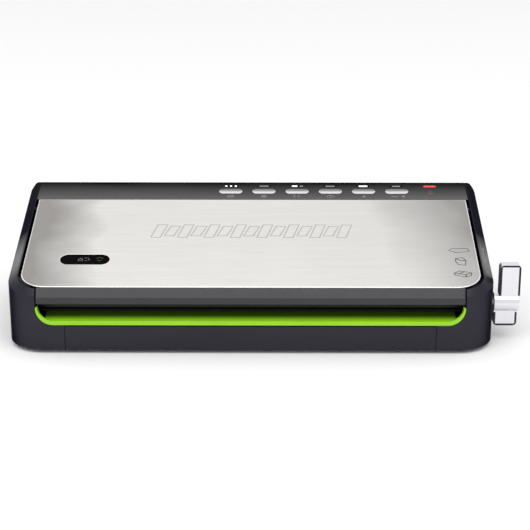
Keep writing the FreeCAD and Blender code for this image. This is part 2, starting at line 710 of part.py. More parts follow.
def make_front_panel():
    top = "guide_bottom - seam"
    face = block(("-front_half", "front_half"), ("0", "wall"), ("foot_gap", top))
    shelf = block(("-front_half + 2*wall", "front_half - 2*wall"), ("0", "panel_flange"),
                  (f"{top} - wall", top))
    ribs = [block((f"{i}*rib_pitch - wall/2", f"{i}*rib_pitch + wall/2"), ("0", "panel_flange"),
                  (f"{COVER_TOP} + slip", top)) for i in (-2, -1, 0, 1, 2)]
    node("front_panel", fuse(face, shelf, *ribs))


def make_bag_guide():
    top = "guide_bottom + guide_rise"
    outer = "slot_half + guide_wall"
    lip = cut(cradle(outer, ("0", "guide_depth"), ("guide_bottom", top), "guide_radius"),
              cradle(f"{outer} - guide_tip", ("-cutter", "guide_depth + cutter"),
                     ("guide_bottom + guide_lip", f"{top} + cutter"), "guide_radius - guide_tip"))
    channel = cut(cradle(outer, ("guide_depth/2", "channel_depth"), ("guide_bottom", top), "guide_radius"),
                  cradle(f"{outer} - shelf_thick", ("-cutter", "channel_depth + cutter"),
                         ("guide_bottom + shelf_thick", f"{top} + cutter"), "guide_radius - shelf_thick"))
    lip_top = "guide_bottom + guide_lip"
    back = "deck_start + deck_rim"
    shelf = profile(span(f"{outer} - guide_radius/2"), [
        ("guide_depth/2", f"{lip_top} - shelf_thick"),
        ("guide_depth/2", lip_top),
        ("guide_depth", lip_top),
        (y_at(back, "-deck_thick"), z_at(back, "-deck_thick")),
        (y_at(back, "-deck_thick - shelf_thick"), z_at(back, "-deck_thick - shelf_thick")),
    ])
    node("bag_guide", fuse(lip, channel, shelf))


FEET = [(f"{side}*(body_width/2 - foot_x)", y) for side in (-1, 1) for y in ("foot_y", "body_depth - foot_y")]
BOARD_POSTS = [(f"{side}*(board_half - board_inset)", y) for side in (-1, 1)
               for y in ("board_front + board_inset", "board_rear - board_inset")]


def make_bottom_cover():
    plate = plan_outline("wall + slip", ("foot_gap", COVER_TOP))
    posts = [rod_up("board_inset", x, y, ("foot_gap", "board_level")) for x, y in BOARD_POSTS]
    through = ("0", f"{COVER_TOP} + cutter")
    holes = [rod_up("screw_radius", x, y, (COVER_TOP, "board_level + cutter")) for x, y in BOARD_POSTS]
    holes += [rod_up("peg_radius", x, y, through) for x, y in FEET]
    for side, y in cover_posts():
        holes.append(rod_up("screw_radius", post_x(side), y, through))
        holes.append(rod_up("head_radius + slip", post_x(side), y,
                            ("0", "foot_gap + head_thick + screw_recess")))
    for i in range(2, 12):
        middle = f"pump_x + {i}*vent_pitch"
        holes.append(block((f"{middle} - vent_width/2", f"{middle} + vent_width/2"),
                           ("vent_y", "vent_y + vent_length"), through))
    node("bottom_cover", cut(fuse(plate, *posts), *holes))


def make_feet():
    node("rubber_feet", group(*[fuse(rod_up("foot_radius", x, y, ("0", "foot_gap")),
                                     rod_up("peg_radius", x, y, ("foot_gap", COVER_TOP))) for x, y in FEET]))
    node("bottom_screws", group(*[screw(post_x(side), y, ("foot_gap + screw_recess", "post_top - screw_roof"))
                                  for side, y in cover_posts()]))


def make_cord_gland():
    flange = rod_back("gland_radius + gland_flange", "gland_x",
                      ("body_depth - wall - gland_flange", "body_depth - wall"), "gland_z")
    sleeve = rod_back("gland_radius", "gland_x", ("body_depth - gland_length", "body_depth"), "gland_z")
    bore = rod_back("cord_bore", "gland_x", ("body_depth - gland_length - cutter", "body_depth + cutter"),
                    "gland_z")
    node("cord_gland", cut(fuse(flange, sleeve), bore))


# ---- control panel and buttons ------------------------------------------------------------------------

def button_x(i):
    return f"(button_first + {i}*button_pitch)"


def panel_posts():
    """Where the control board hangs from the panel: between pairs of buttons."""
    return [f"(button_first + {i}*button_pitch + button_pitch/2)" for i in (0, 2, 4)]


PANEL_POST_U = f"({PLATE_END} + panel_post_u)"
BOARD_TOP = "(board_w + board_thick)"


def lamp_slot(i, ws):
    return pill(button_x(i), LAMP_U, "lamp_length", "lamp_width", ws)


def make_control_panel():
    half = f"({BAY_HALF} - slip)"
    start = y_at(PLATE_END, RIDGE_W)
    clear = f"({NOSE} + hinge_gap)"
    skirt_back = f"{HINGE_U} + {clear} + panel_thick"
    beyond = f"{half} + cutter"
    roof = cut(side_outline(half, "0", PANEL_EDGE, start),
               side_outline(beyond, "panel_thick", f"{PANEL_EDGE} - cutter", y_at(skirt_back, RIDGE_W)))
    skirt = cut(slab(half, (f"{HINGE_U} + skirt_start", skirt_back), ("slip", RIDGE_W)),
                slab(beyond, (f"{HINGE_U} + skirt_start + 2*panel_thick", f"{skirt_back} + cutter"),
                     ("-cutter", "board_w - skirt_relief")))
    posts = [rod_up("panel_post_radius", x, PANEL_POST_U, (BOARD_TOP, f"{RIDGE_W} - panel_thick"), True)
             for x in panel_posts()]
    through = (f"{RIDGE_W} - panel_thick - cutter", f"{RIDGE_W} + cutter")
    holes = [pill(button_x(i), BUTTON_U, "button_length + 2*slip", "button_width + 2*slip", through)
             for i in range(len(BUTTONS))]
    holes += [lamp_slot(i, through) for i in range(len(BUTTONS))]
    holes += [pill("alert_x", LAMP_U, "lamp_length", "alert_width", through)]
    holes += [rod_up("screw_radius", x, PANEL_POST_U,
                     (f"{BOARD_TOP} - cutter", f"{BOARD_TOP} + panel_screw + tip_room"), True)
              for x in panel_posts()]
    sweep = rod_across(clear, span("body_width/2"), y_at(HINGE_U, HINGE_W), z_at(HINGE_U, HINGE_W))
    node("control_panel", cut(fuse(cut(fuse(roof, skirt), sweep), *posts), *holes))


def make_panel_fittings():
    depth = (f"{RIDGE_W} - panel_thick", RIDGE_W)
    node("status_lenses", group(*[lamp_slot(i, depth) for i in range(len(BUTTONS))]))
    node("alert_lens", pill("alert_x", LAMP_U, "lamp_length", "alert_width", depth))
    front = f"({PLATE_END} + board_u)"
    board = block(("board_left", "board_right"), (front, f"{front} + board_width"), ("board_w", BOARD_TOP),
                  True)
    through = ("board_w - cutter", f"{BOARD_TOP} + cutter")
    node("control_board", cut(board, *[rod_up("screw_radius", x, PANEL_POST_U, through, True)
                                       for x in panel_posts()]))
    node("key_switches", group(*[
        block((f"{button_x(i)} - key_half", f"{button_x(i)} + key_half"),
              (f"{BUTTON_U} - key_half", f"{BUTTON_U} + key_half"),
              (BOARD_TOP, f"{BOARD_TOP} + key_height"), True)
        for i in range(len(BUTTONS))]))
    node("panel_screws", group(*[
        screw(x, PANEL_POST_U, ("board_w - head_thick", f"{BOARD_TOP} + panel_screw"), True)
        for x in panel_posts()]))


def make_buttons():
    under = f"{RIDGE_W} - panel_thick"
    stem_end = f"{BOARD_TOP} + key_height + button_travel + stem_gap"
    for i, name in enumerate(BUTTONS):
        x = button_x(i)
        cap = pill(x, BUTTON_U, "button_length", "button_width", (under, f"{RIDGE_W} + button_proud"))
        flange = pill(x, BUTTON_U, "button_length + 2*flange_edge", "button_width + 2*flange_edge",
                      (f"{under} - slip - flange_thick", f"{under} - slip"))
        stem = rod_up("button_stem", x, BUTTON_U, (stem_end, under), True)
        node(name, fuse(cap, flange, stem))


# ---- deck, tray and seal bar --------------------------------------------------------------------------

RING = ("ring_half", "tray_u", "ring_width", "ring_band")


def make_deck():
    plate = rounded(f"{BAY_HALF} - slip", ("deck_start", f"{HINGE_U} + deck_rim"), ("-deck_thick", "0"),
                    "plate_radius - slip - deck_inset")
    through = ("-deck_thick - cutter", "cutter")
    holes = [slab("bar_half + slip", ("bar_u - bar_width/2 - slip", "bar_u + bar_width/2 + slip"), through),
             slab("tray_half + slip", ("tray_u - tray_width/2 - slip", "tray_u + tray_width/2 + slip"),
                  through),
             rod_up("hose_radius", "port_x", "tray_u", through, True),
             ring(*RING, ("-ring_seat", "cutter"))]
    slot = (f"{LEVER_U} - hook_radius - hook_sweep_gap",
            f"{LEVER_U} + hook_hub + toe_gap + toe_length + leg_thick + hook_sweep_gap")
    holes += [block(sides(side, "hook_x - hook_slot", "hook_x + hook_thick + hook_slot"), slot, through, True)
              for side in (-1, 1)]
    node("chamber_deck", cut(plate, *holes))
    node("lower_gasket", ring(*RING, ("-ring_seat", "ring_top")))


def make_drip_tray():
    outer = slab("tray_half", ("tray_u - tray_width/2", "tray_u + tray_width/2"), ("-tray_drop", "0"))
    inner = slab("tray_half - tray_wall",
                 ("tray_u - tray_width/2 + tray_wall", "tray_u + tray_width/2 - tray_wall"),
                 ("-tray_drop + tray_wall", "cutter"))
    node("drip_tray", cut(outer, inner))


def make_seal_bar():
    front, rear = "bar_u - bar_width/2", "bar_u + bar_width/2"
    strip = ("bar_u - strip_half", "bar_u + strip_half")
    strip_top = "bar_proud + strip_thick"
    node("seal_bar", slab("bar_half", (front, rear), ("-bar_height", "bar_proud")))
    node("heating_strip", slab("bar_half - terminal_inset/2", strip, ("bar_proud", strip_top)))
    node("release_tape", slab("bar_half", (f"{front} + tape_inset", f"{rear} - tape_inset"),
                              (strip_top, f"{strip_top} + tape_thick")))
    node("bar_terminals", group(*[
        block(sides(side, "bar_half - terminal_inset - terminal_size", "bar_half - terminal_inset"), strip,
              ("-bar_height - terminal_size", "-bar_height"), True) for side in (-1, 1)]))


# ---- lid ----------------------------------------------------------------------------------------------

LID_TOP = "(lid_height - plate_thick)"
SHELL_HALF = f"({PLATE_HALF} - plate_lap)"
SHELL_START = "(plate_start + plate_lap)"
LINING_TOP = "(inner_level + inner_thick)"
WINDOW = ("window_x", "window_u")


def lid_posts():
    """Where the lining is screwed to the lid shell."""
    return [(x, f"{HINGE_U} - {back}") for x in ("-lid_post_x", "0", "lid_post_x")
            for back in ("lid_post_front", "lid_post_rear")]


def lip(half, inset):
    """The lid's front lip: a sloping upper facet over an upright lower one, then a turned-in edge."""
    root = "plate_start + lip_root"
    edge = f"plate_start + lip_step + {inset}"
    roof = f"{LID_TOP} - ({inset})"
    floor = f"lid_floor + lip_foot + ({inset})"
    crease = f"{z_at('plate_start', 'lid_height')} - lip_upper"
    face = f"lip_y + ({inset})"
    return profile(span(half), [
        (y_at(root, roof), z_at(root, roof)),
        (y_at(edge, roof), z_at(edge, roof)),
        (face, f"{crease} - ({inset})/2"),
        (face, f"{crease} - lip_lower + ({inset})/2"),
        (f"{face} + lip_return", f"{crease} - lip_lower - lip_rise + ({inset})"),
        (y_at(root, floor), z_at(root, floor)),
    ])


def make_lid_shell():
    hinge = (y_at(HINGE_U, HINGE_W), z_at(HINGE_U, HINGE_W))
    around_hinge = (f"{HINGE_U} - 3*nose_reach", f"{HINGE_U} + 3*nose_reach")
    solid = rounded(SHELL_HALF, (SHELL_START, HINGE_U), ("lid_floor", LID_TOP), "plate_radius - plate_lap")
    nose = common(rod_across(NOSE, span(SHELL_HALF), *hinge), slab(SHELL_HALF, around_hinge, ("0", LID_TOP)))
    roof = f"({LID_TOP} - lid_wall)"
    hollow = rounded(f"{SHELL_HALF} - lid_wall", (f"{SHELL_START} + lid_wall", f"{HINGE_U} - lid_wall"),
                     ("lid_floor - cutter", roof), "plate_radius - plate_lap - lid_wall")
    nose_half = f"({SHELL_HALF} - boss_width)"
    nose_hollow = common(rod_across(f"{NOSE} - lid_wall", span(nose_half), *hinge),
                         slab(nose_half, around_hinge, ("0", roof)))
    shell = cut(fuse(solid, nose, lip("lip_half", "0")), hollow, nose_hollow,
                lip("lip_half - lid_wall", "lid_wall"))
    posts = [rod_up("lid_post_radius", x, u, (LINING_TOP, LID_TOP), True) for x, u in lid_posts()]
    holes = [rod_up("screw_radius", x, u, (LINING_TOP, f"{LINING_TOP} + lid_screw + tip_room"), True)
             for x, u in lid_posts()]
    holes += [rod_across("pin_radius + run_gap",
                         sides(side, f"{SHELL_HALF} - pin_length", f"{SHELL_HALF} + cutter"), *hinge)
              for side in (-1, 1)]
    holes += [pill(*WINDOW, "window_length", "window_width", (f"{roof} - cutter", f"{LID_TOP} + cutter"))]
    node("lid_shell", cut(fuse(shell, *posts), *holes))


def make_lid_plate():
    through = ("0", "lid_height + cutter")
    plate = rounded(PLATE_HALF, ("plate_start", PLATE_END), (LID_TOP, "lid_height"), "plate_radius")
    node("lid_plate", cut(plate, pill(*WINDOW, "window_length", "window_width", through)))
    inner = ("window_length - 2*window_rim", "window_width - 2*window_rim")
    rim = pill(*WINDOW, "window_length", "window_width", (f"{LID_TOP} - lid_wall", "lid_height + rim_proud"))
    node("window_bezel", cut(rim, pill(*WINDOW, *inner, through)))
    node("window_lens", pill(*WINDOW, *inner, (f"{LID_TOP} - lid_wall/2", "lid_height - lens_drop")))


def make_lid_lining():
    gap = "(lid_wall + slip)"
    plate = rounded(f"{SHELL_HALF} - {gap}", (f"{SHELL_START} + {gap}", f"{HINGE_U} - {gap}"),
                    ("inner_level", LINING_TOP), f"plate_radius - plate_lap - {gap}")
    seat = ("inner_level - cutter", "inner_level + ring_seat")
    pad_us = ("bar_u - pad_half", "bar_u + pad_half")
    holes = [ring(*RING, seat), slab("bar_half", pad_us, seat)]
    holes += [rod_up("screw_radius", x, u, ("0", f"{LINING_TOP} + cutter"), True) for x, u in lid_posts()]
    node("lid_lining", cut(plate, *holes))
    node("upper_gasket", ring(*RING, ("ring_top + slip", "inner_level + ring_seat")))
    node("pressure_pad", slab("bar_half", pad_us, ("pad_drop", "inner_level + ring_seat")))
    node("lid_screws", group(*[screw(x, u, ("inner_level - head_thick", f"{LINING_TOP} + lid_screw"), True)
                               for x, u in lid_posts()]))


def make_lid_catches():
    toe = f"({LEVER_U} + hook_hub + toe_gap)"
    leg = f"({toe} + toe_length)"
    catches = []
    for side in (-1, 1):
        xs = sides(side, "hook_x", "hook_x + hook_thick")
        low = "-toe_top - toe_height"
        catches.append(fuse(block(xs, (toe, f"{leg} + leg_thick"), (low, "-toe_top"), True),
                            block(xs, (leg, f"{leg} + leg_thick"), (low, "inner_level"), True)))
    node("lid_catches", group(*catches))


def make_hinge_pins():
    near, far = f"{SHELL_HALF} - pin_length + pin_room", f"{BAY_HALF} + pin_hold"
    pins = [rod_across("pin_radius", sides(side, near, far), y_at(HINGE_U, HINGE_W), z_at(HINGE_U, HINGE_W))
            for side in (-1, 1)]
    node("hinge_pins", group(*pins))


# ---- lever, latch shaft and hooks ---------------------------------------------------------------------

SHAFT_END = "body_width/2 + lever_reach - shaft_short"


def sector(xs, start, sweep):
    """A flat-sided sector round the latch shaft, with its hub; angles are from the slope's rear end up."""
    def corner(angle):
        return (f"{LEVER_U} + hook_radius*cos({angle})", f"{LEVER_W} + hook_radius*sin({angle})")
    points = [(LEVER_U, LEVER_W)] + [corner(f"{start} + {i}*({sweep})/4") for i in range(5)]
    arm = profile(xs, points, sloped=True)
    hub = rod_across("hook_hub", xs, "lever_y", "lever_z")
    bore = rod_across("shaft_radius", ("-body_width", "body_width"), "lever_y", "lever_z")
    return cut(fuse(arm, hub), bore)


def make_latch():
    axis = ("lever_y", "lever_z")
    for side, name in ((-1, "left_hook"), (1, "right_hook")):
        node(name, sector(sides(side, "hook_x", "hook_x + hook_thick"), "hook_start", "hook_sweep"))
    node("switch_cam", sector(("cam_x", "cam_x + cam_thick"), "-hook_start", "hook_sweep"))
    end = "-web_x - web_thick"
    node("latch_shaft", rod_across("shaft_radius", (f"{end} - shaft_past", SHAFT_END), *axis))
    node("retaining_clip", cut(
        rod_across("hook_hub", (f"{end} - clip_gap - clip_thick", f"{end} - clip_gap"), *axis),
        rod_across("shaft_radius", (f"{end} - shaft_past", end), *axis)))
    webs = [sides(side, "web_x - bush_lip", "web_x + web_thick + bush_lip") for side in (-1, 1)]
    webs.append(("body_width/2 - wall - bush_lip", "body_width/2 + bush_lip"))
    bore = ("-body_width", "body_width")
    node("shaft_bushes", group(*[cut(rod_across("bush_radius", xs, *axis),
                                     rod_across("shaft_radius + run_gap", bore, *axis)) for xs in webs]))


def make_latch_switch():
    top = "lever_z - hook_radius - switch_gap"
    base = block(("cam_x - switch_side", "cam_x + cam_thick + switch_side"),
                 ("lever_y - switch_half", "lever_y + switch_half"), (COVER_TOP, top))
    button = rod_up("screw_radius", "cam_x + cam_thick/2", "lever_y", (top, "lever_z - hook_radius - slip"))
    node("latch_switch", fuse(base, button))


def make_lever():
    front = "lever_y - lever_thick/2"
    body, sketch = outline([
        ("lever_gap", "-lever_down"), ("lever_reach - lever_step", "-lever_down"),
        ("lever_reach - lever_step", "0"), ("lever_reach", "0"),
        ("lever_reach", "lever_up"), ("lever_inset", "lever_up"), ("lever_inset", "0"), ("lever_gap", "0"),
    ], "XZ_Plane")
    pad(body, sketch, "lever_thick", back=True)
    top, bottom = sheet_value("lever_up"), -sheet_value("lever_down")

    def is_corner(a, b):
        return abs(a.y - b.y) > 1 and any(abs(a.z - level) < NEAR for level in (top, bottom))

    round_edges(body, is_corner, "lever_round")
    put_level(body, "body_width/2", front, "lever_z")
    hub = rod_across("hub_radius", ("body_width/2 + lever_gap", "body_width/2 + lever_reach - lever_step/2"),
                     "lever_y", "lever_z")
    bore = rod_across("shaft_radius", ("body_width/2", SHAFT_END), "lever_y", "lever_z")
    node("lever_handle", cut(fuse(body, hub), bore))


# ---- pump, valve and power ----------------------------------------------------------------------------

SPIGOT_Z = "pump_z - spigot_drop"
VALVE_U = "(tray_u + port_half + vent_gap)"


def make_pump():
    axis = ("pump_y", "pump_z")
    half = "head_size/2"
    head_right = f"(pump_x + {half})"
    motor_end = f"({head_right} + motor_length)"
    head = cut(block((f"pump_x - {half}", head_right), (f"pump_y - {half}", f"pump_y + {half}"),
                     (f"pump_z - {half}", f"pump_z + {half}")),
               rod_across("crank_radius + crank_room", ("pump_x", f"{head_right} + cutter"), *axis))
    spigot = rod_back("hose_bore", "pump_x", (f"pump_y - {half} - spigot_length", f"pump_y - {half}"),
                      SPIGOT_Z)
    node("pump_head", fuse(head, spigot))
    motor = rod_across("motor_radius", (head_right, motor_end), *axis)
    bore = rod_across("crank_shaft + run_gap",
                      (f"{head_right} - cutter", f"{motor_end} - shaft_rest + tip_room"), *axis)
    node("pump_motor", cut(motor, bore))
    disc_start = f"{head_right} - disc_gap - disc_thick"
    disc = rod_across("crank_radius", (disc_start, f"{disc_start} + disc_thick"), *axis)
    shaft = rod_across("crank_shaft", (disc_start, f"{motor_end} - shaft_rest"), *axis)
    pin = rod_across("crank_shaft", (f"{disc_start} - crank_pin", disc_start), "pump_y",
                     "pump_z - crank_throw")
    node("pump_crank", fuse(disc, shaft, pin))
    mounts = [rod_up("mount_radius", f"pump_x + {i}*head_size/3", f"pump_y + {j}*head_size/3",
                     (COVER_TOP, f"pump_z - {half}")) for i in (-1, 1) for j in (-1, 1)]
    saddle = cut(block((f"{motor_end} - saddle_start", f"{motor_end} - saddle_end"),
                       ("pump_y - saddle_half", "pump_y + saddle_half"),
                       (COVER_TOP, "pump_z - motor_radius + saddle_rise")),
                 rod_across("motor_radius", (head_right, motor_end), *axis))
    node("pump_mounts", group(*mounts, saddle))


def make_vacuum_port():
    flange = block(("port_x - port_half", "port_x + port_half"), ("tray_u - port_half", "tray_u + port_half"),
                   ("-port_drop", "-deck_thick"), True)
    neck = rod_up("hose_radius", "port_x", "tray_u", ("-deck_thick", "0"), True)
    bore = rod_up("hose_bore", "port_x", "tray_u", ("-port_drop - cutter", "cutter"), True)
    side_bore = rod_along("hose_bore", "port_x", ("tray_u", "tray_u + port_half + cutter"), "-vent_drop")
    node("vacuum_port", cut(fuse(flange, neck), bore, side_bore))
    start, end = "tray_u + port_half", VALVE_U
    node("vent_hose", cut(rod_along("hose_radius", "port_x", (start, end), "-vent_drop"),
                          rod_along("hose_bore", "port_x", (f"{start} - cutter", f"{end} + cutter"),
                                    "-vent_drop")))


def make_release_valve():
    middle = f"{VALVE_U} + valve_size/2"
    low = "(-valve_drop - valve_size)"
    body = block(("port_x - valve_size/2", "port_x + valve_size/2"), (VALVE_U, f"{VALVE_U} + valve_size"),
                 (low, "-valve_drop"), True)
    bore = rod_up("plunger_radius + run_gap", "port_x", middle,
                  (f"{low} - cutter", f"{low} + plunger_hold + tip_room"), True)
    node("release_valve", cut(body, bore))
    node("valve_plunger", rod_up("plunger_radius", "port_x", middle,
                                 (f"{low} - plunger_proud", f"{low} + plunger_hold"), True))


def make_vacuum_hose():
    """A hose that leaves the port square to the slope and comes level into the pump's spigot."""
    tilt = math.radians(sheet_value("lid_tilt"))
    drop = sheet_value("hose_drop")
    port = [sheet_value("port_x"), sheet_value(y_at("tray_u", "-port_drop")),
            sheet_value(z_at("tray_u", "-port_drop"))]
    spigot = [sheet_value(text) for text in ("pump_x", "pump_y - head_size/2 - spigot_length", SPIGOT_Z)]
    route = [port, (port[0], port[1] + drop*math.sin(tilt), port[2] - drop*math.cos(tilt)),
             (spigot[0], spigot[1] - drop, spigot[2]), spigot]
    hose = doc.addObject("Part::Feature", "Hose")
    hose.Shape = tube(route, sheet_value("hose_radius")).cut(tube(route, sheet_value("hose_bore")))
    node("vacuum_hose", put_level(hose, "0", "0", "0"))


def tube(points, radius):
    """A round solid along straight runs joined by tangent arcs as large as the runs allow."""
    points = [FreeCAD.Vector(*point) for point in points]
    edges = []
    last = points[0]
    for before, corner, after in zip(points, points[1:], points[2:]):
        into = (corner - before).normalize()
        out = (after - corner).normalize()
        turn = into.getAngle(out)
        reach = 0.45 * min((corner - before).Length, (after - corner).Length)
        bend = reach / math.tan(turn / 2)
        start = corner - into * reach
        end = corner + out * reach
        inward = (out - into).normalize()
        middle = corner + inward * (bend / math.cos(turn / 2) - bend)
        edges.append(Part.LineSegment(last, start).toShape())
        edges.append(Part.Arc(start, middle, end).toShape())
        last = end
    edges.append(Part.LineSegment(last, points[-1]).toShape())
    path = Part.Wire(edges)
    ring_edge = Part.Circle(points[0], points[1] - points[0], radius).toShape()
    return path.makePipeShell([Part.Wire([ring_edge])], True, True)


def make_transformer():
    half = "core_length/2"
    leg = "(core_length/2 - core_window)/2"
    base, top = COVER_TOP, f"{COVER_TOP} + core_height"
    back = "core_y + core_depth"

    def around(side, near, far, ys, zs):
        """A block between two distances from the transformer's middle, on one side of it."""
        ends = (near, far) if side > 0 else (f"-{far}", f"-{near}")
        return block([f"core_x + {end}" for end in ends], ys, zs)

    core = block((f"core_x - {half}", f"core_x + {half}"), ("core_y", back), (base, top))
    windows = [around(side, leg, f"({leg} + core_window)", ("core_y - cutter", f"{back} + cutter"),
                      (f"{base} + {leg}", f"{top} - {leg}")) for side in (-1, 1)]
    node("transformer_core", cut(core, *windows))
    outer = f"({leg} + core_window - slip)"
    inner = f"({leg} + coil_gap)"
    low, high = f"{base} + {leg} + slip", f"{top} - {leg} - slip"
    coil = block((f"core_x - {outer}", f"core_x + {outer}"), ("core_y - coil_proud", f"{back} + coil_proud"),
                 (low, high))
    middle_leg = block((f"core_x - {inner}", f"core_x + {inner}"),
                       ("core_y - coil_gap", f"{back} + coil_gap"), (f"{low} - cutter", f"{high} + cutter"))
    node("transformer_winding", cut(coil, middle_leg))


def make_power_board():
    top = "(board_level + board_thick)"
    board = block(("-board_half", "board_half"), ("board_front", "board_rear"), ("board_level", top))
    through = ("board_level - cutter", f"{top} + cutter")
    holes = [rod_up("screw_radius", x, y, through) for x, y in BOARD_POSTS]
    node("power_board", cut(board, *holes))
    node("board_screws", group(*[fuse(rod_up("head_radius", x, y, (top, f"{top} + head_thick")),
                                      rod_up("screw_radius", x, y, ("board_level - board_screw", top)))
                                 for x, y in BOARD_POSTS]))
    node("smoothing_capacitor", rod_up("capacitor_radius", "-board_half/2", "(board_front + board_rear)/2",
                                       (top, f"{top} + capacitor_height")))
    relay_y = "board_front + relay_front"
    node("power_relay", block(("relay_x", "relay_x + relay_length"), (relay_y, f"{relay_y} + relay_width"),
                              (top, f"{top} + relay_height")))


# ---- build, check, write ------------------------------------------------------------------------------

def check():
    """Stop if any object failed, or a finished sub-part has no sound shape."""
    for item in doc.Objects:
        if "Invalid" in item.State or "Error" in item.State:
            raise RuntimeError(f"{item.Name} ({item.Label}) failed: {item.State}")
    for name, item in nodes.items():
        if item.Shape.isNull() or not item.Shape.isValid():
            raise RuntimeError(f"{name} has no sound shape")


def write():
    os.makedirs("parts", exist_ok=True)
    for name, item in nodes.items():
        item.Shape.exportStep(f"parts/{name}.step")


MAKERS = (make_base_shell, make_front_panel, make_bag_guide, make_bottom_cover, make_feet, make_cord_gland,
          make_control_panel, make_panel_fittings, make_buttons, make_deck, make_drip_tray, make_seal_bar,
          make_lid_shell, make_lid_plate, make_lid_lining, make_lid_catches, make_hinge_pins, make_latch,
          make_latch_switch, make_lever, make_pump, make_vacuum_port, make_release_valve, make_vacuum_hose,
          make_transformer, make_power_board)


def main():
    fill_sheet()
    for make in MAKERS:
        make()
        doc.recompute()
    check()
    write()


main()
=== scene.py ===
"""Looks of a counter-top vacuum sealer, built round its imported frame.

The sealer's lid, deck and control panel lie on one slope. Pieces on it are drawn flat, with x to the right,
y back along the slope and z square to it, and are then tilted into place by the SLOPE matrix.
"""

import json
import math

import bpy
from bpy.props import FloatProperty, FloatVectorProperty, IntProperty, PointerProperty
from mathutils import Matrix, Vector
from mathutils.bvhtree import BVHTree

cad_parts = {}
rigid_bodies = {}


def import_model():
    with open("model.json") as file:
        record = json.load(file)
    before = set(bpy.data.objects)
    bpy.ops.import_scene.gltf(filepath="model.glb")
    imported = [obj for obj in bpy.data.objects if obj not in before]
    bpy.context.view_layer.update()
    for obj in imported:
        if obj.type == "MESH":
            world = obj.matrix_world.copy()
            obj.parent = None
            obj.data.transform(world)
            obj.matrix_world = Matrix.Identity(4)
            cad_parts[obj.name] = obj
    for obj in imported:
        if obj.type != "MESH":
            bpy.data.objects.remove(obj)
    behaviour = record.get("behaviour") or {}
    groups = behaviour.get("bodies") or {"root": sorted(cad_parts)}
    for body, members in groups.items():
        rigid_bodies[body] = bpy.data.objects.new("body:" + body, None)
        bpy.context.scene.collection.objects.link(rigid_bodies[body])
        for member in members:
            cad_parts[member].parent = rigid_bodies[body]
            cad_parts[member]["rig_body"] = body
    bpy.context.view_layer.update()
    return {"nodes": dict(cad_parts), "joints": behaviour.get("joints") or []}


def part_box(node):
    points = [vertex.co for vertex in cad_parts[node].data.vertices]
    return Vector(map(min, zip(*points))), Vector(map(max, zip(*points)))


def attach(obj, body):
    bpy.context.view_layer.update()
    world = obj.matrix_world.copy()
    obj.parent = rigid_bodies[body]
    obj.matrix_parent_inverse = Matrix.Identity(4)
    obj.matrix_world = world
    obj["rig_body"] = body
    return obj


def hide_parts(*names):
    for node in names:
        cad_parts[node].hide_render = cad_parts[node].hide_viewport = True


bl_info = {
    "name": "Vacuum sealer",
    "version": (1, 0, 0),
    "blender": (4, 5, 0),
    "location": "3D View > Sidebar > Sealer",
    "description": "Builds the visible pieces of a counter-top vacuum sealer round its frame",
    "category": "Object",
}

MM = 0.001
WELD = 0.002 * MM
FLAT_WITHIN = math.radians(0.3)
INK_FLATNESS = 0.16
RIM_FADE = 1.2 * MM
BRUSHING = 0.004 * MM
BLACK = (0, 0, 0, 1)

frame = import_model()
nodes = frame["nodes"]
joints = {joint["name"]: joint for joint in frame["joints"]}

RIGHT = Vector((1, 0, 0))
FORTH = Vector((0, 1, 0))
TALL = Vector((0, 0, 1))
UP = -Vector(joints["cancel_press"]["axis"]).normalized()
BACK = UP.cross(RIGHT)
SLOPE = Matrix((RIGHT, BACK, UP)).transposed().to_4x4()
BUTTONS = ("vacuum_seal_button", "seal_only_button", "pulse_button", "moist_food_button",
           "accessory_button", "cancel_button")


# ---- places -------------------------------------------------------------------------------------------

def reach(node, direction):
    """Least and greatest distance of a CAD node's points along a direction."""
    along = [point.co.dot(direction) for point in nodes[node].data.vertices]
    return min(along), max(along)


def middle(node, direction):
    return sum(reach(node, direction)) / 2


MIDDLE = middle("lid_plate", RIGHT)
PLATE_TOP = reach("lid_plate", UP)[1]
PLATE_FRONT = reach("lid_plate", BACK)[0]
PLATE_REAR = reach("lid_plate", BACK)[1]
LIP_REACH = 13.7 * MM
FRONT_EDGE = PLATE_FRONT - LIP_REACH
PANEL_TOP = reach("control_panel", UP)[1]
BUTTON_ROW = middle("cancel_button", BACK)
LAMP_ROW = middle("status_lenses", BACK)


def button_x(index):
    return middle(BUTTONS[index], RIGHT)


def fall_on(node, above):
    """Where a line straight down the slope's normal meets a CAD node, and the way its surface faces."""
    mesh = nodes[node].data
    tree = BVHTree.FromPolygons([point.co for point in mesh.vertices],
                                [tuple(face.vertices) for face in mesh.polygons])
    place, normal, _, _ = tree.ray_cast(above, -UP)
    if place is None:
        raise RuntimeError(f"{node} has no surface where a mark goes")
    return place, normal


# ---- selection and modelling --------------------------------------------------------------------------

def select_only(piece):
    bpy.ops.object.select_all(action="DESELECT")
    piece.select_set(True)
    bpy.context.view_layer.objects.active = piece


def edit(piece, mode="FACE"):
    """Open a piece in edit mode with nothing selected."""
    select_only(piece)
    bpy.ops.object.mode_set(mode="EDIT")
    bpy.ops.mesh.select_mode(type=mode)
    bpy.ops.mesh.select_all(action="DESELECT")
    bpy.ops.object.mode_set(mode="OBJECT")


def pick(piece, faces=None, points=None):
    """Select the faces or the points that a test picks, then go on in edit mode."""
    for vertex in piece.data.vertices:
        vertex.select = bool(points and points(vertex.co))
    for edge in piece.data.edges:
        edge.select = False
    for face in piece.data.polygons:
        face.select = bool(faces and faces(face))
    bpy.ops.object.mode_set(mode="EDIT")


def done():
    bpy.ops.object.mode_set(mode="OBJECT")


def finish_modifier(piece, kind, **settings):
    """Add a modifier and apply it."""
    modifier = piece.modifiers.new(kind.title(), kind)
    for name, value in settings.items():
        setattr(modifier, name, value)
    select_only(piece)
    bpy.ops.object.modifier_apply(modifier=modifier.name)


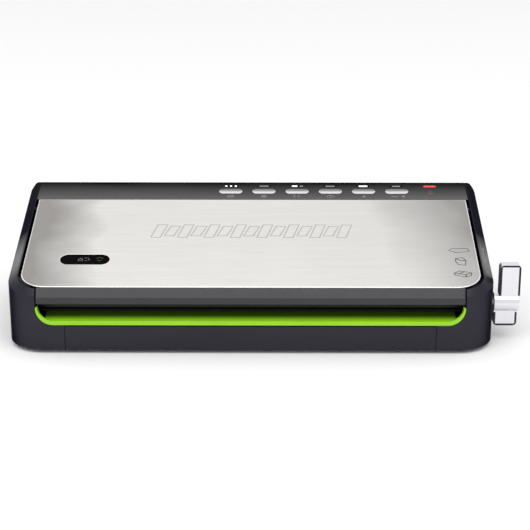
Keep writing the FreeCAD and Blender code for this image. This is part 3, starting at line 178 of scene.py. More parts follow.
def smooth(piece, angle=35):
    select_only(piece)
    bpy.ops.object.shade_smooth_by_angle(angle=math.radians(angle))


def tilt(piece, matrix):
    """Move a piece that was drawn flat into its place, and leave its object at the origin."""
    select_only(piece)
    bpy.ops.object.transform_apply(location=True, rotation=True, scale=True)
    piece.data.transform(matrix)
    piece.data.update()


def copy_node(node, name):
    """A copy of a CAD node as one clean mesh: its doubles merged and its flat faces whole."""
    piece = bpy.data.objects.new(name, nodes[node].data.copy())
    bpy.context.scene.collection.objects.link(piece)
    piece.data.materials.clear()
    edit(piece)
    bpy.ops.object.mode_set(mode="EDIT")
    bpy.ops.mesh.select_all(action="SELECT")
    bpy.ops.mesh.remove_doubles(threshold=WELD)
    bpy.ops.mesh.dissolve_limited(angle_limit=FLAT_WITHIN)
    done()
    return piece


def stand_for(piece, *replaced):
    """Make a piece ride with the CAD nodes that it stands for, and hide them."""
    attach(piece, nodes[replaced[0]]["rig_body"])
    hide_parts(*replaced)
    return piece


def add_to(piece, node):
    """Make an added piece ride with a CAD node that stays."""
    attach(piece, nodes[node]["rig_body"])


def give(piece, material):
    piece.data.materials.clear()
    piece.data.materials.append(material)


def drop_spikes(piece, node):
    """Dissolve the points that a bevel threw out past its CAD node, where two edges meet at a sliver."""
    low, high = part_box(node)
    slack = 0.05 * MM
    edit(piece, "VERT")
    pick(piece, points=lambda point: any(not low[i] - slack < point[i] < high[i] + slack for i in range(3)))
    if any(vertex.select for vertex in piece.data.vertices):
        bpy.ops.mesh.dissolve_verts()
    done()


def soften(node, width, material, segments=3, angle=30, edge=None):
    """A CAD node with its sharp edges rounded, as a moulding or a casting has them."""
    piece = copy_node(node, node + "_soft")
    give(piece, material)
    piece.data.materials.append(edge or material)
    finish_modifier(piece, "BEVEL", width=width, segments=segments, limit_method="ANGLE", material=1,
                    angle_limit=math.radians(angle), use_clamp_overlap=False, miter_outer="MITER_ARC")
    drop_spikes(piece, node)
    smooth(piece)
    finish_modifier(piece, "WEIGHTED_NORMAL", keep_sharp=True)
    return stand_for(piece, node)


def draw_lines(name, strokes, width, material, node, level, matrix=SLOPE):
    """Thin printed or raised lines. A stroke is (points, closed), its points flat on the slope."""
    curve = bpy.data.curves.new(name, "CURVE")
    curve.dimensions = "3D"
    curve.bevel_depth = width / 2
    curve.bevel_resolution = 1
    for points, closed in strokes:
        spline = curve.splines.new("POLY")
        spline.points.add(len(points) - 1)
        for point, (x, y) in zip(spline.points, points):
            point.co = (x, y, 0, 1)
        spline.use_cyclic_u = closed
    curve.use_fill_caps = True
    piece = bpy.data.objects.new(name, curve)
    bpy.context.scene.collection.objects.link(piece)
    select_only(piece)
    bpy.ops.object.convert(target="MESH")
    thin = Matrix.Diagonal((1, 1, INK_FLATNESS, 1))
    piece.data.transform(Matrix.Translation((0, 0, level)) @ thin)
    tilt(piece, matrix)
    smooth(piece, 60)
    give(piece, material)
    add_to(piece, node)


def at(points, x, y):
    """Points given in millimetres round a place, in metres."""
    return [(x + a * MM, y + b * MM) for a, b in points]


def set_down(figure, x, y):
    """A figure of strokes in millimetres, moved to its place in metres."""
    return [(at(points, x, y), closed) for points, closed in figure]


def arc(radius, start, end, steps=10, middle_x=0.0, middle_y=0.0):
    """Points in millimetres along an arc, its angles in degrees."""
    angles = [math.radians(start + (end - start) * i / steps) for i in range(steps + 1)]
    return [(middle_x + radius * math.cos(a), middle_y + radius * math.sin(a)) for a in angles]


# ---- shader sums --------------------------------------------------------------------------------------

class Number:
    """A shader socket that takes part in Python sums."""

    def __init__(self, finish, socket):
        self.finish = finish
        self.socket = socket

    def sum(self, operation, first, second):
        return self.finish.add("ShaderNodeMath", {"operation": operation}, {0: first, 1: second})

    def __add__(self, other):
        return self.sum("ADD", self, other)

    def __radd__(self, other):
        return self.sum("ADD", other, self)

    def __sub__(self, other):
        return self.sum("SUBTRACT", self, other)

    def __rsub__(self, other):
        return self.sum("SUBTRACT", other, self)

    def __mul__(self, other):
        return self.sum("MULTIPLY", self, other)

    def __rmul__(self, other):
        return self.sum("MULTIPLY", other, self)

    def __abs__(self):
        return self.finish.add("ShaderNodeMath", {"operation": "ABSOLUTE"}, {0: self})


class Finish:
    """A material with one Principled shader and the nodes that feed it."""

    def __init__(self, name, roughness=0.4, metallic=0.0, **uniform):
        self.material = bpy.data.materials.new(name)
        self.material.use_nodes = True
        self.tree = self.material.node_tree
        self.shader = self.tree.nodes["Principled BSDF"]
        self.feed(self.shader.inputs["Roughness"], roughness)
        self.feed(self.shader.inputs["Metallic"], metallic)
        for socket, value in uniform.items():
            self.feed(self.shader.inputs[socket.replace("_", " ")], value)

    def feed(self, socket, value):
        if isinstance(value, Number):
            self.tree.links.new(value.socket, socket)
        else:
            socket.default_value = value

    def add(self, kind, settings=None, inputs=None, output=0):
        """Add a node: its settings first, then the values or links of its sockets."""
        made = self.tree.nodes.new(kind)
        for name, value in (settings or {}).items():
            setattr(made, name, value)
        for name, value in (inputs or {}).items():
            self.feed(made.inputs[name], value)
        return Number(self, made.outputs[output])

    def place(self, stretch=(1, 1, 1)):
        """The piece's own coordinates, stretched."""
        own = self.add("ShaderNodeTexCoord", output="Object")
        return self.add("ShaderNodeMapping", {}, {"Vector": own, "Scale": stretch})

    def dot(self, source, direction):
        own = self.add("ShaderNodeTexCoord", output=source)
        return self.add("ShaderNodeVectorMath", {"operation": "DOT_PRODUCT"},
                        {0: own, 1: tuple(direction)}, "Value")

    def along(self, direction):
        """How far a point lies along a direction."""
        return self.dot("Object", direction)

    def facing(self, direction):
        """How squarely the surface faces a direction."""
        return self.dot("Normal", direction)

    def noise(self, scale, detail=2.0, stretch=(1, 1, 1)):
        return self.add("ShaderNodeTexNoise", {},
                        {"Vector": self.place(stretch), "Scale": scale, "Detail": detail})

    def mix(self, share, first, second):
        """A colour between two, given as three numbers or a link."""
        colours = [c if isinstance(c, Number) else (*c, 1.0) for c in (first, second)]
        return self.add("ShaderNodeMix", {"data_type": "RGBA"}, {0: share, 6: colours[0], 7: colours[1]}, 2)

    def range(self, value, low, high, to_low=0.0, to_high=1.0):
        """Map a number from one range to another, and stop at its ends."""
        return self.add("ShaderNodeMapRange", {"clamp": True},
                        {"Value": value, "From Min": low, "From Max": high,
                         "To Min": to_low, "To Max": to_high})

    def colour(self, value):
        self.feed(self.shader.inputs["Base Color"], value if isinstance(value, Number) else (*value, 1.0))

    def rough(self, value):
        self.feed(self.shader.inputs["Roughness"], value)

    def tone(self, value, low, high, colour, share):
        """A base colour that is down to a share of itself where a number is low."""
        self.colour(self.mix(self.range(value, low, high), dark(colour, share), colour))

    def bump(self, height, depth):
        """Raise the surface by a height from 0 to 1 times a depth in metres."""
        made = self.add("ShaderNodeBump", {}, {"Height": height, "Distance": depth})
        self.feed(self.shader.inputs["Normal"], made)


def dark(colour, share):
    return tuple(channel * share for channel in colour)


# ---- finishes -----------------------------------------------------------------------------------------

def flow_marks(made, colour):
    """Colour a moulding with faint flow marks, and give back the pattern of its polished patches."""
    patches = made.noise(35.0, 3.0)
    flow = made.noise(9.0, 2.0, stretch=(1, 2, 6))
    made.tone(flow * 0.6 + patches * 0.4, 0.3, 0.7, colour, 0.86)
    return patches


def moulded_plastic(name, colour, rough=0.4, grain=2200.0, depth=0.012 * MM, shine=0.5):
    """Injection-moulded plastic: an eroded grain, faint flow marks and slightly polished patches."""
    made = Finish(name, Specular_IOR_Level=shine)
    patches = flow_marks(made, colour)
    made.rough(made.range(patches, 0.3, 0.7, rough - 0.05, rough + 0.06))
    made.bump(made.noise(grain), depth)
    return made.material


def brushed_metal(name, colour, rough):
    """Metal brushed along X: fine streaks over broad soft clouds in its tone."""
    made = Finish(name, metallic=1.0)
    fine = made.noise(2400.0, 3.0, stretch=(0.012, 1, 1))
    broad = made.noise(300.0, 2.0, stretch=(0.02, 1, 1))
    cloud = made.noise(9.0, 2.0, stretch=(1, 1.6, 1.6))
    tone = made.range(fine * 0.4 + broad * 0.25 + cloud * 0.35, 0.35, 0.65)
    made.colour(made.mix(tone, dark(colour, 0.86), colour))
    made.rough(made.range(fine * 0.5 + cloud * 0.5, 0.3, 0.7, rough - 0.04, rough + 0.06))
    made.bump(fine, BRUSHING)
    return made.material


def plate_metal(name, colour, shade, centre, half):
    """The lid's brushed sheet: brushed metal with painted shade, its tone fading in soft clouds towards both
    sides.
    """
    made = Finish(name, metallic=1.0)
    fine = made.noise(2400.0, 3.0, stretch=(0.012, 1, 1))
    broad = made.noise(260.0, 2.0, stretch=(0.03, 1, 1))
    cloud = made.noise(16.0, 3.0, stretch=(1, 1.3, 1.3))
    across = made.along(RIGHT) * (1 / half) - centre / half
    back = made.along(BACK) * (1 / half)
    # Painted shade: from here the code builds a share that turns the steel to the shade colour in soft clouds
    # near both sides, a little more towards the right and the back.
    ragged = across + cloud * 0.26 - 0.13
    left = made.range(ragged, -0.97, -0.68)
    right = made.range(ragged + back * 0.3, 0.6, 1.08)
    painted_shade_falloff = made.range(across, 0.1, 0.7) * 0.08 + made.range(back, -0.42, 0.2) * 0.08
    sides = 1 - left + right * 0.9 + painted_shade_falloff
    streaks = made.range(fine * 0.6 + broad * 0.2 + cloud * 0.2, 0.32, 0.68)
    lit = made.mix(streaks, dark(colour, 0.88), colour)
    made.colour(made.mix(made.range(sides, 0.0, 1.0), lit, shade))
    made.rough(made.range(fine, 0.3, 0.7, 0.27, 0.36))
    made.bump(fine, BRUSHING)
    return made.material


def polished_chrome(name, colour, rough=0.06):
    """Chrome plate with faint wiping marks."""
    made = Finish(name, metallic=1.0)
    wipes = made.noise(90.0, 4.0, stretch=(1, 1, 0.3))
    ripple = made.noise(45.0, 1.0)
    made.tone(wipes, 0.35, 0.65, colour, 0.95)
    made.rough(made.range(wipes, 0.35, 0.7, rough, rough + 0.05))
    made.bump(ripple, 0.02 * MM)
    return made.material


def lever_chrome(name, colour, painted_dark_reflection, line):
    """Chrome plate whose broad faces are edged by a painted reflection: a dark line in the colour, standing
    in for the dark edges that a mirror shows in a pale room.
    """
    made = Finish(name, metallic=1.0)
    points = [point.co for point in nodes["lever_handle"].data.vertices]
    hub = joints["latch_turn"]["pos_m"][2]
    x, z = made.along(RIGHT), made.along(TALL)

    def inside(value, low, high):
        soft = 0.15 * MM
        return made.range(value, low, low + soft) * made.range(value, high, high - soft)

    boss_below, boss_above, arm_start = 8.0 * MM, 7.2 * MM, 12 * MM
    pale = inside(z, hub - boss_below, hub + boss_above)
    for arm in ([p for p in points if p.z > hub + arm_start], [p for p in points if p.z < hub - arm_start]):
        left, right = min(p.x for p in arm) + line, max(p.x for p in arm) - line
        low, high = min(p.z for p in arm) + line, max(p.z for p in arm) - line
        ends = (hub, high) if high > hub else (low, hub)
        pale = pale + inside(x, left, right) * inside(z, *ends)
    # Painted reflection: the broad faces keep the chrome tone inside their pale areas, and elsewhere the
    # colour is the dark edge tone.
    broad = made.range(abs(made.facing(FORTH)), 0.75, 0.85)
    wipes = made.noise(90.0, 4.0, stretch=(1, 1, 0.3))
    plate = made.mix(made.range(wipes, 0.35, 0.65), dark(colour, 0.95), colour)
    made.colour(made.mix(broad * (1 - made.range(pale, 0, 1)), plate, painted_dark_reflection))
    made.rough(made.range(wipes, 0.35, 0.7, 0.12, 0.2))
    made.bump(made.noise(45.0, 1.0), 0.02 * MM)
    return made.material


def machined_metal(name, colour, rough=0.35):
    """Turned or rolled metal: short scratches and slightly dull patches."""
    made = Finish(name, metallic=1.0)
    scratch = made.noise(900.0, 3.0, stretch=(1, 0.15, 1))
    patch = made.noise(60.0, 3.0)
    made.tone(patch, 0.3, 0.7, colour, 0.8)
    made.rough(made.range(patch * 0.5 + scratch * 0.5, 0.3, 0.7, rough - 0.06, rough + 0.1))
    made.bump(scratch, 0.008 * MM)
    return made.material


def extruded_metal(name, colour):
    """Aluminium drawn along X: long die lines."""
    made = Finish(name, metallic=1.0, Anisotropic=0.4)
    lines = made.noise(1800.0, 2.0, stretch=(0.004, 1, 1))
    made.tone(lines, 0.3, 0.7, colour, 0.85)
    made.rough(made.range(lines, 0.3, 0.7, 0.3, 0.42))
    made.bump(lines, 0.01 * MM)
    return made.material


def soft_rubber(name, colour, rough=0.62):
    """Rubber or silicone: dull, with a dusty bloom."""
    made = Finish(name, Specular_IOR_Level=0.35)
    bloom = made.noise(70.0, 4.0)
    skin = made.noise(1600.0, 2.0)
    pale = tuple(channel + 0.025 for channel in colour)
    made.colour(made.mix(made.range(bloom, 0.4, 0.75), colour, pale))
    made.rough(made.range(bloom, 0.3, 0.7, rough - 0.06, rough + 0.1))
    made.bump(skin, 0.02 * MM)
    return made.material


def closed_foam(name, colour):
    """Closed-cell foam: small round pores."""
    made = Finish(name, roughness=0.85, Specular_IOR_Level=0.2)
    cells = made.add("ShaderNodeTexVoronoi", {}, {"Vector": made.place(), "Scale": 1400.0})
    worn = made.noise(50.0, 3.0)
    tone = made.range(cells * 0.6 + worn * 0.4, 0.2, 0.6)
    made.colour(made.mix(tone, dark(colour, 0.55), colour))
    made.bump(made.range(cells, 0.0, 0.6), 0.09 * MM)
    return made.material


def woven_tape(name, colour):
    """Coated glass cloth: a plain weave under a smooth skin."""
    made = Finish(name, Coat_Weight=0.2, Coat_Roughness=0.3)
    warp = made.add("ShaderNodeTexWave", {"bands_direction": "X"}, {"Vector": made.place(), "Scale": 260.0})
    weft = made.add("ShaderNodeTexWave", {"bands_direction": "Y"}, {"Vector": made.place(), "Scale": 260.0})
    weave = warp * weft
    stain = made.noise(60.0, 3.0)
    made.tone(weave * 0.6 + stain * 0.4, 0.1, 0.8, colour, 0.6)
    made.rough(made.range(stain, 0.3, 0.7, 0.38, 0.55))
    made.bump(weave, 0.05 * MM)
    return made.material


def tinted_window(name, colour):
    """Smoked plastic with a deep gloss and a little haze."""
    made = Finish(name, metallic=1.0, Specular_Tint=BLACK, Coat_Weight=0.08, Coat_Roughness=0.04)
    haze = made.noise(55.0, 3.0)
    made.colour(made.mix(made.range(haze, 0.35, 0.7), colour, tuple(c + 0.004 for c in colour)))
    made.rough(made.range(haze, 0.3, 0.7, 0.06, 0.14))
    made.bump(made.noise(120.0, 1.0), 0.004 * MM)
    return made.material


def lit_lens(name, colour, strength):
    """A diffusing lens with a lamp behind it, a little uneven."""
    made = Finish(name, roughness=0.25, Emission_Strength=strength)
    glow = made.noise(450.0, 2.0)
    tone = made.mix(made.range(glow, 0.35, 0.65), dark(colour, 0.8), colour)
    made.colour(tone)
    made.feed(made.shader.inputs["Emission Color"], tone)
    return made.material


def printed_ink(name, colour, rough=0.45):
    """Screen-printed ink: slightly patchy, with a soft edge to its gloss."""
    made = Finish(name)
    patch = made.noise(900.0, 3.0)
    made.tone(patch, 0.3, 0.75, colour, 0.8)
    made.rough(made.range(patch, 0.3, 0.7, rough - 0.08, rough + 0.08))
    made.bump(patch, 0.004 * MM)
    return made.material


def silver_paint(name, colour, bright, row):
    """Silver-painted plastic with a painted highlight that makes it lighter in front of a row: fine flakes
    under a clear coat.
    """
    made = Finish(name, metallic=0.8, Coat_Weight=0.25, Coat_Roughness=0.15)
    flakes = made.add("ShaderNodeTexVoronoi", {}, {"Vector": made.place(), "Scale": 5200.0}, "Color")
    flake = made.add("ShaderNodeSeparateColor", {}, {0: flakes})
    # Painted highlight: the colour turns to the bright tone in front of the button row, standing in for the
    # light that the front of each button catches.
    tone = made.mix(made.range(made.along(BACK), row + 1.2 * MM, row - 1.2 * MM), colour, bright)
    made.colour(made.mix(made.range(flake, 0.1, 0.9, 0.0, 0.2), tone, BLACK[:3]))
    made.rough(made.range(flake, 0.0, 1.0, 0.3, 0.42))
    made.bump(flake, 0.003 * MM)
    return made.material


def circuit_board(name, colour):
    """Green solder mask over square copper runs."""
    made = Finish(name, roughness=0.3, Coat_Weight=0.3, Coat_Roughness=0.2)
    runs = made.add("ShaderNodeTexBrick", {"offset": 0.37, "squash": 0.6},
                    {"Vector": made.place(), "Scale": 90.0, "Mortar Size": 0.06}, "Fac")
    weave = made.noise(700.0, 2.0)
    copper = made.mix(runs, colour, tuple(min(1.0, c * 1.9 + 0.02) for c in colour))
    made.colour(made.mix(made.range(weave, 0.3, 0.7, 0.0, 0.3), copper, dark(colour, 0.6)))
    made.bump(runs, 0.03 * MM)
    return made.material


def stacked_sheets(name, colour):
    """Laminated iron: sheets stacked front to back, with a bluish varnish."""
    made = Finish(name, metallic=0.7)
    sheets = made.add("ShaderNodeTexWave", {"bands_direction": "Y"}, {"Vector": made.place(), "Scale": 320.0})
    rust = made.noise(120.0, 4.0)
    made.colour(made.mix(made.range(rust, 0.5, 0.8), colour, (0.16, 0.09, 0.05)))
    made.rough(made.range(rust, 0.3, 0.7, 0.4, 0.65))
    made.bump(sheets, 0.12 * MM)
    return made.material


def wound_wire(name, colour):
    """Enamelled wire laid in close level turns."""
    made = Finish(name, metallic=0.85, Coat_Weight=0.5, Coat_Roughness=0.1)
    turns = made.add("ShaderNodeTexWave", {"bands_direction": "Z"}, {"Vector": made.place(), "Scale": 420.0})
    tone = made.noise(140.0, 2.0)
    made.tone(tone * 0.5 + turns * 0.5, 0.2, 0.8, colour, 0.55)
    made.rough(0.28)
    made.bump(turns, 0.2 * MM)
    return made.material


def studio_floor(name, colour):
    """Matt painted floor, very slightly uneven."""
    made = Finish(name, roughness=0.9, Specular_IOR_Level=0.1)
    cloud = made.noise(2.0, 2.0)
    made.colour(made.mix(cloud, dark(colour, 0.99), colour))
    return made.material


def housing_plastic(name, colour, bright, length, rim):
    """Satin black plastic with little glare, and a clear gleam on the cheeks' bevel round one place."""
    made = Finish(name, metallic=1.0, Specular_Tint=(0.32, 0.32, 0.33, 1), Coat_Roughness=0.2, Coat_IOR=1.6)
    patches = flow_marks(made, colour)
    away = abs(made.along(BACK) - bright)
    gleam = made.range(away + patches * 0.012 - 0.006, length, length * 0.2)
    high = made.range(made.along(UP), rim - RIM_FADE, rim)
    made.feed(made.shader.inputs["Coat Weight"], gleam * high)
    made.rough(made.range(patches, 0.3, 0.7, 0.32, 0.42))
    made.bump(made.noise(2200.0), 0.012 * MM)
    return made.material


def shaded_plastic(name, colour, start, depth):
    """Glossy coloured plastic with painted shade that darkens it with depth in its slot."""
    made = Finish(name, Coat_Weight=0.2, Coat_Roughness=0.15, Specular_IOR_Level=0.3)
    patches = made.noise(35.0, 3.0)
    # Painted shade: the colour darkens towards a deep shade the further it lies back in the slot.
    painted_slot_shade = made.range(made.along(FORTH) + patches * 0.0006, start, start + depth)
    lit = made.mix(made.range(patches, 0.3, 0.7), dark(colour, 0.92), colour)
    made.colour(made.mix(painted_slot_shade, lit, dark(colour, 0.12)))
    made.rough(made.range(patches, 0.3, 0.7, 0.28, 0.38))
    made.bump(made.noise(1500.0), 0.006 * MM)
    return made.material


def panel_gloss(name, colour, rear, front):
    """Glossy panel whose clear coat thickens from its dark rear edge to the front."""
    made = Finish(name, metallic=1.0, Specular_Tint=BLACK, Coat_Roughness=0.22, Coat_IOR=1.85)
    grains = made.noise(3000.0, 2.0)
    wipe = made.noise(14.0, 3.0, stretch=(1, 4, 4))
    share = made.range(made.along(BACK) + wipe * 0.008 - 0.004, rear, front, 0.0, 1.0)
    made.feed(made.shader.inputs["Coat Weight"], share)
    made.tone(wipe, 0.3, 0.7, colour, 0.7)
    made.rough(made.range(wipe, 0.3, 0.7, 0.34, 0.42))
    made.bump(grains, 0.002 * MM)
    return made.material


# ---- sizes and colours that a user may change ---------------------------------------------------------

def colour_property(name, description, default):
    return FloatVectorProperty(name=name, description=description, subtype="COLOR", size=3, min=0, max=1,
                               default=default)


def length_property(name, description, millimetres):
    return FloatProperty(name=name, description=description, default=millimetres * MM, min=0,
                         subtype="DISTANCE", unit="LENGTH")


class SealerHousing(bpy.types.PropertyGroup):
    black: colour_property("Housing colour", "Colour of the moulded housing", (0.040, 0.038, 0.048))
    lid_black: colour_property("Lid colour", "Colour of the moulded lid", (0.0130, 0.0118, 0.0175))
    gleam_back: length_property("Gleam's place", "Middle of the bevel's gleam, from the front", 60)
    gleam_length: length_property("Gleam's reach", "How far the bevel's gleam reaches each way", 42)
    edge: length_property("Housing edge", "Rounding of the housing's moulded edges", 0.6)
    lip_edge: length_property("Lid edge", "Rounding of the lid's front lip", 0.45)
    panel_black: colour_property("Panel colour", "Colour of the control panel", (0.0095, 0.0090, 0.0095))
    lime: colour_property("Guide colour", "Colour of the bag guide", (0.275, 0.62, 0.012))
    guide_edge: length_property("Guide edge", "Rounding of the bag guide", 0.5)
    # The guide lip sets where the painted shade in the slot begins.
    guide_lip: length_property("Guide lip", "Bright front of the bag guide, before it darkens", 3.2)


class SealerPlate(bpy.types.PropertyGroup):
    steel: colour_property("Steel colour", "Tone of the brushed plate", (0.86, 0.85, 0.825))
    # The shade colour is painted shade on the plate, towards its sides.
    shade: colour_property("Shade colour", "Tone of the plate towards its sides", (0.34, 0.325, 0.315))
    roll: length_property("Rolled edge", "Width of the plate's bright rolled edge", 0.75)
    raise_width: length_property("Raised line", "Width of the pattern's raised lines", 1.25)
    lozenges: IntProperty(name="Lozenges", description="Figures in the raised pattern", default=15, min=1)
    ink: colour_property("Ink colour", "Colour of the marks printed on the plate", (0.02, 0.02, 0.022))
    line: length_property("Ink line", "Width of the printed lines", 0.85)


class SealerControls(bpy.types.PropertyGroup):
    silver: colour_property("Button colour", "Colour of the six buttons", (0.24, 0.24, 0.25))
    # The button's front colour is a painted highlight on the front of each button.
    bright: colour_property("Button's front", "Colour of the front of each button", (0.74, 0.74, 0.74))
    crown: length_property("Button edge", "Rounding of the buttons' upper edge", 0.7)
    dish: length_property("Button dish", "Depth of the dish in a button's top", 0.22)
    white_light: colour_property("Lamp colour", "Colour of the status lamps", (1.0, 1.0, 1.0))
    red_light: colour_property("Alert colour", "Colour of the alert lamp", (0.75, 0.02, 0.02))
    grey_ink: colour_property("Mark colour", "Colour of the marks printed on the panel", (0.35, 0.35, 0.36))
    mark_line: length_property("Mark line", "Width of the panel's printed lines", 0.5)


class SealerLever(bpy.types.PropertyGroup):
    chrome: colour_property("Chrome colour", "Tone of the lever's chrome plate", (0.76, 0.76, 0.79))
    # The edge colour and the edge line paint a dark reflection along the lever's edges.
    painted_edge_reflection: colour_property("Edge colour", "Tone of the chrome on the lever's edges", (0.035, 0.035, 0.04))
    line: length_property("Edge line", "Width of the dark line along the lever's edges", 1.9)
    edge: length_property("Lever edge", "Rounding of the lever's edges", 0.42)


class SealerStage(bpy.types.PropertyGroup):
    floor: colour_property("Floor colour", "Colour of the floor", (0.88, 0.88, 0.885))
    top_light: FloatProperty(name="Top light", description="Power of the softbox over the camera",
                             default=12.0, min=0, unit="POWER")
    side_light: FloatProperty(name="Side light", description="Power of the softbox at each side",
                              default=2.0, min=0, unit="POWER")
    sky: FloatProperty(name="Room light", description="Strength of the even light all round", default=1.0,
                       min=0)
    lens: FloatProperty(name="Lens", description="Camera's focal length", default=101.9, min=10,
                        unit="CAMERA")
    down: FloatProperty(name="Tilt", description="How far the camera looks down",
                        default=math.radians(18.8), subtype="ANGLE")


# ---- housing ------------------------------------------------------------------------------------------

class SEALER_OT_housing(bpy.types.Operator):
    """Round the housing's moulded edges and give it its black grain"""

    bl_idname = "sealer.housing"
    bl_label = "Housing"

    def execute(self, context):
        look = context.scene.sealer_housing
        rim_drop = 6.5 * MM
        black = housing_plastic("housing_black", tuple(look.black), FRONT_EDGE + look.gleam_back,
                                look.gleam_length, PANEL_TOP - rim_drop)
        soften("base_shell", look.edge, black)
        soften("front_panel", look.edge / 3, black)
        under = moulded_plastic("cover_black", (0.014, 0.014, 0.015), rough=0.55, grain=900.0,
                                depth=0.03 * MM)
        give(nodes["bottom_cover"], under)
        rubber = soft_rubber("foot_rubber", (0.018, 0.018, 0.018))
        soften("rubber_feet", look.edge, rubber, angle=50)
        soften("cord_gland", look.edge / 2, rubber, angle=50)
        return {"FINISHED"}


class SEALER_OT_bag_guide(bpy.types.Operator):
    """Round the coloured bag guide in the front slot"""

    bl_idname = "sealer.bag_guide"
    bl_label = "Bag guide"

    def execute(self, context):
        look = context.scene.sealer_housing
        front = reach("bag_guide", FORTH)[0]
        lime = shaded_plastic("guide_lime", tuple(look.lime), front + look.guide_lip, look.guide_lip * 2)
        soften("bag_guide", look.guide_edge, lime, segments=4)
        return {"FINISHED"}


# ---- control panel ------------------------------------------------------------------------------------

class SEALER_OT_control_panel(bpy.types.Operator):
    """Round the glossy control panel's edges"""

    bl_idname = "sealer.control_panel"
    bl_label = "Control panel"

    def execute(self, context):
        look = context.scene.sealer_housing
        start = reach("control_panel", BACK)[1] - 6 * MM
        end = PLATE_REAR + 2 * MM
        gloss = panel_gloss("panel_gloss", tuple(look.panel_black), start, end)
        soften("control_panel", look.edge / 2, gloss)
        return {"FINISHED"}


class SEALER_OT_buttons(bpy.types.Operator):
    """Give the six buttons their rounded edge and dished top"""

    bl_idname = "sealer.buttons"
    bl_label = "Buttons"

    def execute(self, context):
        look = context.scene.sealer_controls
        silver = silver_paint("button_silver_paint", tuple(look.silver), tuple(look.bright), BUTTON_ROW)
        for name in BUTTONS:
            piece = soften(name, look.crown, silver, segments=4, angle=50)
            top = reach(name, UP)[1]
            edit(piece)
            pick(piece, faces=lambda face: face.normal.dot(UP) > 0.99
                 and abs(face.center.dot(UP) - top) < 0.05 * MM)
            bpy.ops.mesh.inset(thickness=look.crown * 1.4)
            bpy.ops.transform.translate(value=-UP * look.dish)
            done()
            smooth(piece)
        return {"FINISHED"}


def dots(x, y, size, pitch):
    """Three short strokes in a row."""
    return [(at([(i * pitch - size / 2, 0), (i * pitch + size / 2, 0)], x, y), False) for i in (-1, 0, 1)]


def bar(x, y, length):
    return [(at([(-length / 2, 0), (length / 2, 0)], x, y), False)]


class SEALER_OT_lamps(bpy.types.Operator):
    """Set the status lamps, some lit, and the red alert lamp into the panel"""

    bl_idname = "sealer.lamps"
    bl_label = "Lamps"

    def execute(self, context):
        look = context.scene.sealer_controls
        smoked = tinted_window("lamp_window", (0.012, 0.012, 0.014))
        give(nodes["status_lenses"], smoked)
        bright = lit_lens("lamp_lit", tuple(look.white_light), 1.1)
        dim = lit_lens("lamp_idle", dark(tuple(look.white_light), 0.3), 0.3)
        level = reach("status_lenses", UP)[1]
        lit = dots(button_x(0), LAMP_ROW, 1.7, 4.4)
        lit += bar(button_x(2) - 2.3 * MM, LAMP_ROW, 5.0)
        lit += bar(button_x(4), LAMP_ROW, 8.0)
        draw_lines("lamps_lit", lit, 2.0 * MM, bright, "status_lenses", level)
        idle = bar(button_x(1), LAMP_ROW, 8.5) + bar(button_x(2) + 4.0 * MM, LAMP_ROW, 3.2)
        idle += bar(button_x(3), LAMP_ROW, 8.5) + bar(button_x(5), LAMP_ROW, 7.5)
        draw_lines("lamps_idle", idle, 1.3 * MM, dim, "status_lenses", level)
        red = lit_lens("alert_red", tuple(look.red_light), 0.55)
        soften("alert_lens", 0.3 * MM, red, segments=2, angle=50)
        return {"FINISHED"}


class SEALER_OT_panel_marks(bpy.types.Operator):
    """Print a plain mark for each button's job in front of it"""

    bl_idname = "sealer.panel_marks"
    bl_label = "Panel marks"

    def execute(self, context):
        look = context.scene.sealer_controls
        ink = printed_ink("panel_ink", tuple(look.grey_ink))
        mark_gap = 8.3 * MM
        row = BUTTON_ROW - mark_gap
        plus = [([(-1.9, 0), (1.9, 0)], False), ([(0, -1.9), (0, 1.9)], False)]
        figures = [
            [([(-2.6, -1.6), (2.6, -1.6), (2.6, 1.6), (-2.6, 1.6)], True), ([(-1.2, 0), (1.2, 0)], False)],
            [([(-2.4, -1.5), (2.4, -1.5)], False), ([(-2.4, 0), (2.4, 0)], False),
             ([(-2.4, 1.5), (2.4, 1.5)], False)],
            [([(-3.4, -1.4), (-1.8, 0.2), (-3.4, 1.8)], False),
             ([(0.4, -1.4), (2.0, 0.2), (0.4, 1.8)], False)],
            [(arc(4.0, 25, 155, 10, 0, -2.4), False), ([(-1.2, -1.4), (1.2, -1.4)], False)],
            plus,
            [([(-6.0, 0), (0.6, 0)], False), ([(3.8, 0), (7.6, 0)], False),
             ([(5.7, -1.9), (5.7, 1.9)], False)],
        ]
        strokes = [stroke for i, figure in enumerate(figures)
                   for stroke in set_down(figure, button_x(i), row)]
        draw_lines("panel_marks", strokes, look.mark_line, ink, "control_panel", PANEL_TOP)
        alert_x = middle("alert_lens", RIGHT)
        warn = printed_ink("alert_ink", (0.32, 0.06, 0.06))
        sign = [(at([(-2.2, -1.8), (2.2, -1.8), (0, 1.8)], alert_x, BUTTON_ROW), True),
                (at(arc(5.0, 55, 125, 8, 0, -9.4), alert_x, BUTTON_ROW + 1.2 * MM), False)]
        draw_lines("alert_marks", sign, look.mark_line, warn, "control_panel", PANEL_TOP)
        return {"FINISHED"}


# ---- lid ----------------------------------------------------------------------------------------------

class SEALER_OT_lid(bpy.types.Operator):
    """Round the lid's moulded lip and finish its inside"""

    bl_idname = "sealer.lid"
    bl_label = "Lid"

    def execute(self, context):
        look = context.scene.sealer_housing
        black = moulded_plastic("lid_black", tuple(look.lid_black), rough=0.3, shine=0.55)
        soften("lid_shell", look.lip_edge, black)
        lining = moulded_plastic("lining_dark", (0.012, 0.012, 0.013), rough=0.5, grain=1200.0,
                                 depth=0.02 * MM, shine=0.15)
        give(nodes["lid_lining"], lining)
        give(nodes["lid_catches"], lining)
        return {"FINISHED"}


